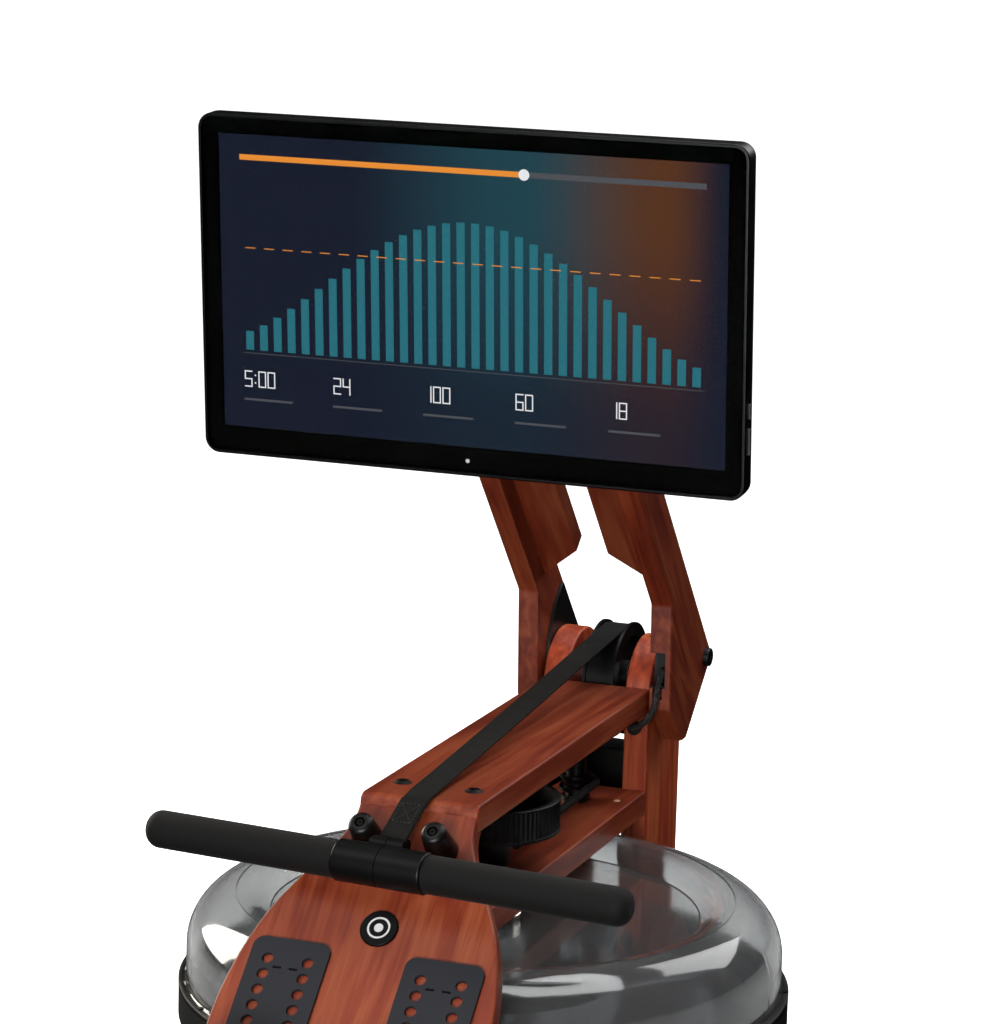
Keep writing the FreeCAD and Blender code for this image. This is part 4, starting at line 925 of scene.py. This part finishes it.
def seat_cushion():
    low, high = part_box("seat_pad")
    centre = (low + high) / 2
    rail_slope = 0.028
    tilt = -math.atan(rail_slope)
    made = bmesh.new()
    nx, ny = 30, 24
    half_x, half_y, tall = 0.143, 0.108, 0.036
    top, bottom = [], []
    for j in range(ny + 1):
        for i in range(nx + 1):
            a, b = -1 + 2 * i / nx, -1 + 2 * j / ny
            squared = (abs(a) ** 4 + abs(b) ** 4) ** 0.25
            reach = max(abs(a), abs(b)) / squared if squared > 0 else 1.0
            x, y = a * reach * half_x, b * reach * half_y
            edge = max(0.0, 1 - max(abs(a), abs(b)) ** 6)
            back = max(0.0, -b)
            relief = 0.010 * math.exp(-((a / 0.16) ** 2)) * back ** 0.5
            saddle = 0.006 * a ** 2 + 0.007 * back ** 2 - relief
            top.append(made.verts.new((x, y, tall * (0.62 + 0.38 * edge) + saddle * edge)))
            bottom.append(made.verts.new((x, y, 0.0)))
    row = nx + 1
    for j in range(ny):
        for i in range(nx):
            k = j * row + i
            made.faces.new((top[k], top[k + 1], top[k + row + 1], top[k + row]))
            made.faces.new((bottom[k + row], bottom[k + row + 1], bottom[k + 1], bottom[k]))
    rim = (list(range(row)) + [j * row + nx for j in range(1, ny + 1)]
           + [ny * row + i for i in range(nx - 1, -1, -1)] + [j * row for j in range(ny - 1, 0, -1)])
    for k, here in enumerate(rim):
        after = rim[(k + 1) % len(rim)]
        made.faces.new((bottom[here], bottom[after], top[after], top[here]))
    mesh = bpy.data.meshes.new("seat_cushion")
    made.to_mesh(mesh)
    made.free()
    turn = Matrix.Rotation(tilt, 4, "X")
    base = Vector((centre.x, centre.y, low.z + 0.0045))
    mesh.transform(Matrix.Translation(base) @ turn)
    cushion = piece("seat_cushion", mesh, seat_cover_material())
    inflate(cushion, voxel=0.005, cap=0.009, up=turn.to_3x3() @ Vector((0, 0, 1)), base=base)
    sub = cushion.modifiers.new("smooth", "SUBSURF")
    sub.levels = sub.render_levels = 1
    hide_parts("seat_pad")
    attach(cushion, "seat")


def apply_modifiers(obj):
    depsgraph = bpy.context.evaluated_depsgraph_get()
    fresh = bpy.data.meshes.new_from_object(obj.evaluated_get(depsgraph))
    obj.modifiers.clear()
    old = obj.data
    obj.data = fresh
    bpy.data.meshes.remove(old)


def inflate(obj, voxel, cap, up, base):
    """Remeshes a soft piece and swells it with cloth pressure; its underside stays flat."""
    frames, firm_height = 20, 0.012
    remesh = obj.modifiers.new("voxels", "REMESH")
    remesh.mode = "VOXEL"
    remesh.voxel_size = voxel
    bpy.context.view_layer.update()
    apply_modifiers(obj)
    rest = [v.co.copy() for v in obj.data.vertices]
    cloth = obj.modifiers.new("cloth", "CLOTH")
    settings = cloth.settings
    settings.use_pressure = True
    settings.uniform_pressure_force = 4.0
    settings.mass = 0.3
    settings.tension_stiffness = settings.compression_stiffness = 12.0
    settings.effector_weights.gravity = 0.0
    cloth.point_cache.frame_start, cloth.point_cache.frame_end = 1, frames
    for number in range(1, frames + 1):
        scene.frame_set(number)
    apply_modifiers(obj)
    for vertex, start in zip(obj.data.vertices, rest):
        moved = vertex.co - start
        if moved.length > cap:
            moved *= cap / moved.length
        height = (start - base).dot(up)
        keep = min(1.0, max(0.0, height / firm_height))
        moved -= up * (moved.dot(up) * (1 - keep))
        vertex.co = start + moved
    scene.frame_set(1)
    obj.data.polygons.foreach_set("use_smooth", [True] * len(obj.data.polygons))
    obj.data.update()


seat_cushion()


# ---------------------------------------------------------------- floor and light
def floor_and_light():
    """White ground and backdrop, a sky and four soft lights."""
    far = 60
    mesh = mesh_of("floor", [(-far, -far, 0), (far, -far, 0), (far, far, 0), (-far, far, 0)], [(0, 1, 2, 3)])
    g = Graph("floor")
    mottle = g.noise(g.place(), 3.0, 2.0, 0.5)
    g.set(Base_Color=g.mix(mottle, (0.90, 0.90, 0.90), (0.93, 0.93, 0.93)), Roughness=0.9,
          Specular_IOR_Level=0.0, Emission_Color=(1.0, 1.0, 1.0), Emission_Strength=0.95)
    floor = piece("floor", mesh, g.material, smooth=False)
    floor.visible_diffuse = False
    floor.visible_glossy = False
    world = bpy.data.worlds.new("studio")
    scene.world = world
    world.use_nodes = True
    tree = world.node_tree
    background = tree.nodes["Background"]
    background.inputs["Color"].default_value = (0.90, 0.92, 0.95, 1)
    fill_level, backdrop_level = 0.13, 1.1
    path = tree.nodes.new("ShaderNodeLightPath")
    level = tree.nodes.new("ShaderNodeMath")
    level.operation = "MULTIPLY_ADD"
    tree.links.new(path.outputs["Is Camera Ray"], level.inputs[0])
    level.inputs[1].default_value = backdrop_level
    level.inputs[2].default_value = fill_level
    tree.links.new(level.outputs[0], background.inputs["Strength"])
    world.cycles_visibility.glossy = False
    target = Vector((0, 0.5, 0.6))

    def area(name, place, width, height, power, colour=(1, 1, 1)):
        data = bpy.data.lights.new(name, "AREA")
        data.shape = "RECTANGLE"
        data.size, data.size_y = width, height
        data.energy = power
        data.color = colour
        lamp = bpy.data.objects.new(name, data)
        scene.collection.objects.link(lamp)
        lamp.location = place
        lamp.rotation_euler = (target - Vector(place)).to_track_quat("-Z", "Y").to_euler()

    sun = bpy.data.lights.new("sky", "SUN")
    sun.energy = 0.6
    sun.angle = math.radians(30)
    lamp = bpy.data.objects.new("sky", sun)
    scene.collection.objects.link(lamp)
    lamp.rotation_euler = Vector((0.26, 0.50, -0.82)).to_track_quat("-Z", "Y").to_euler()
    area("overhead", (0.45, 1.05, 3.0), 2.4, 1.5, 60)
    area("overback", (1.2, 2.7, 2.3), 1.6, 1.4, 26)
    area("left", (-2.5, 1.25, 1.25), 1.3, 1.5, 62, (1.0, 0.94, 0.82))
    area("front", (0.45, -3.0, 0.80), 1.8, 1.2, 120)


floor_and_light()
scene.view_settings.view_transform = "Standard"
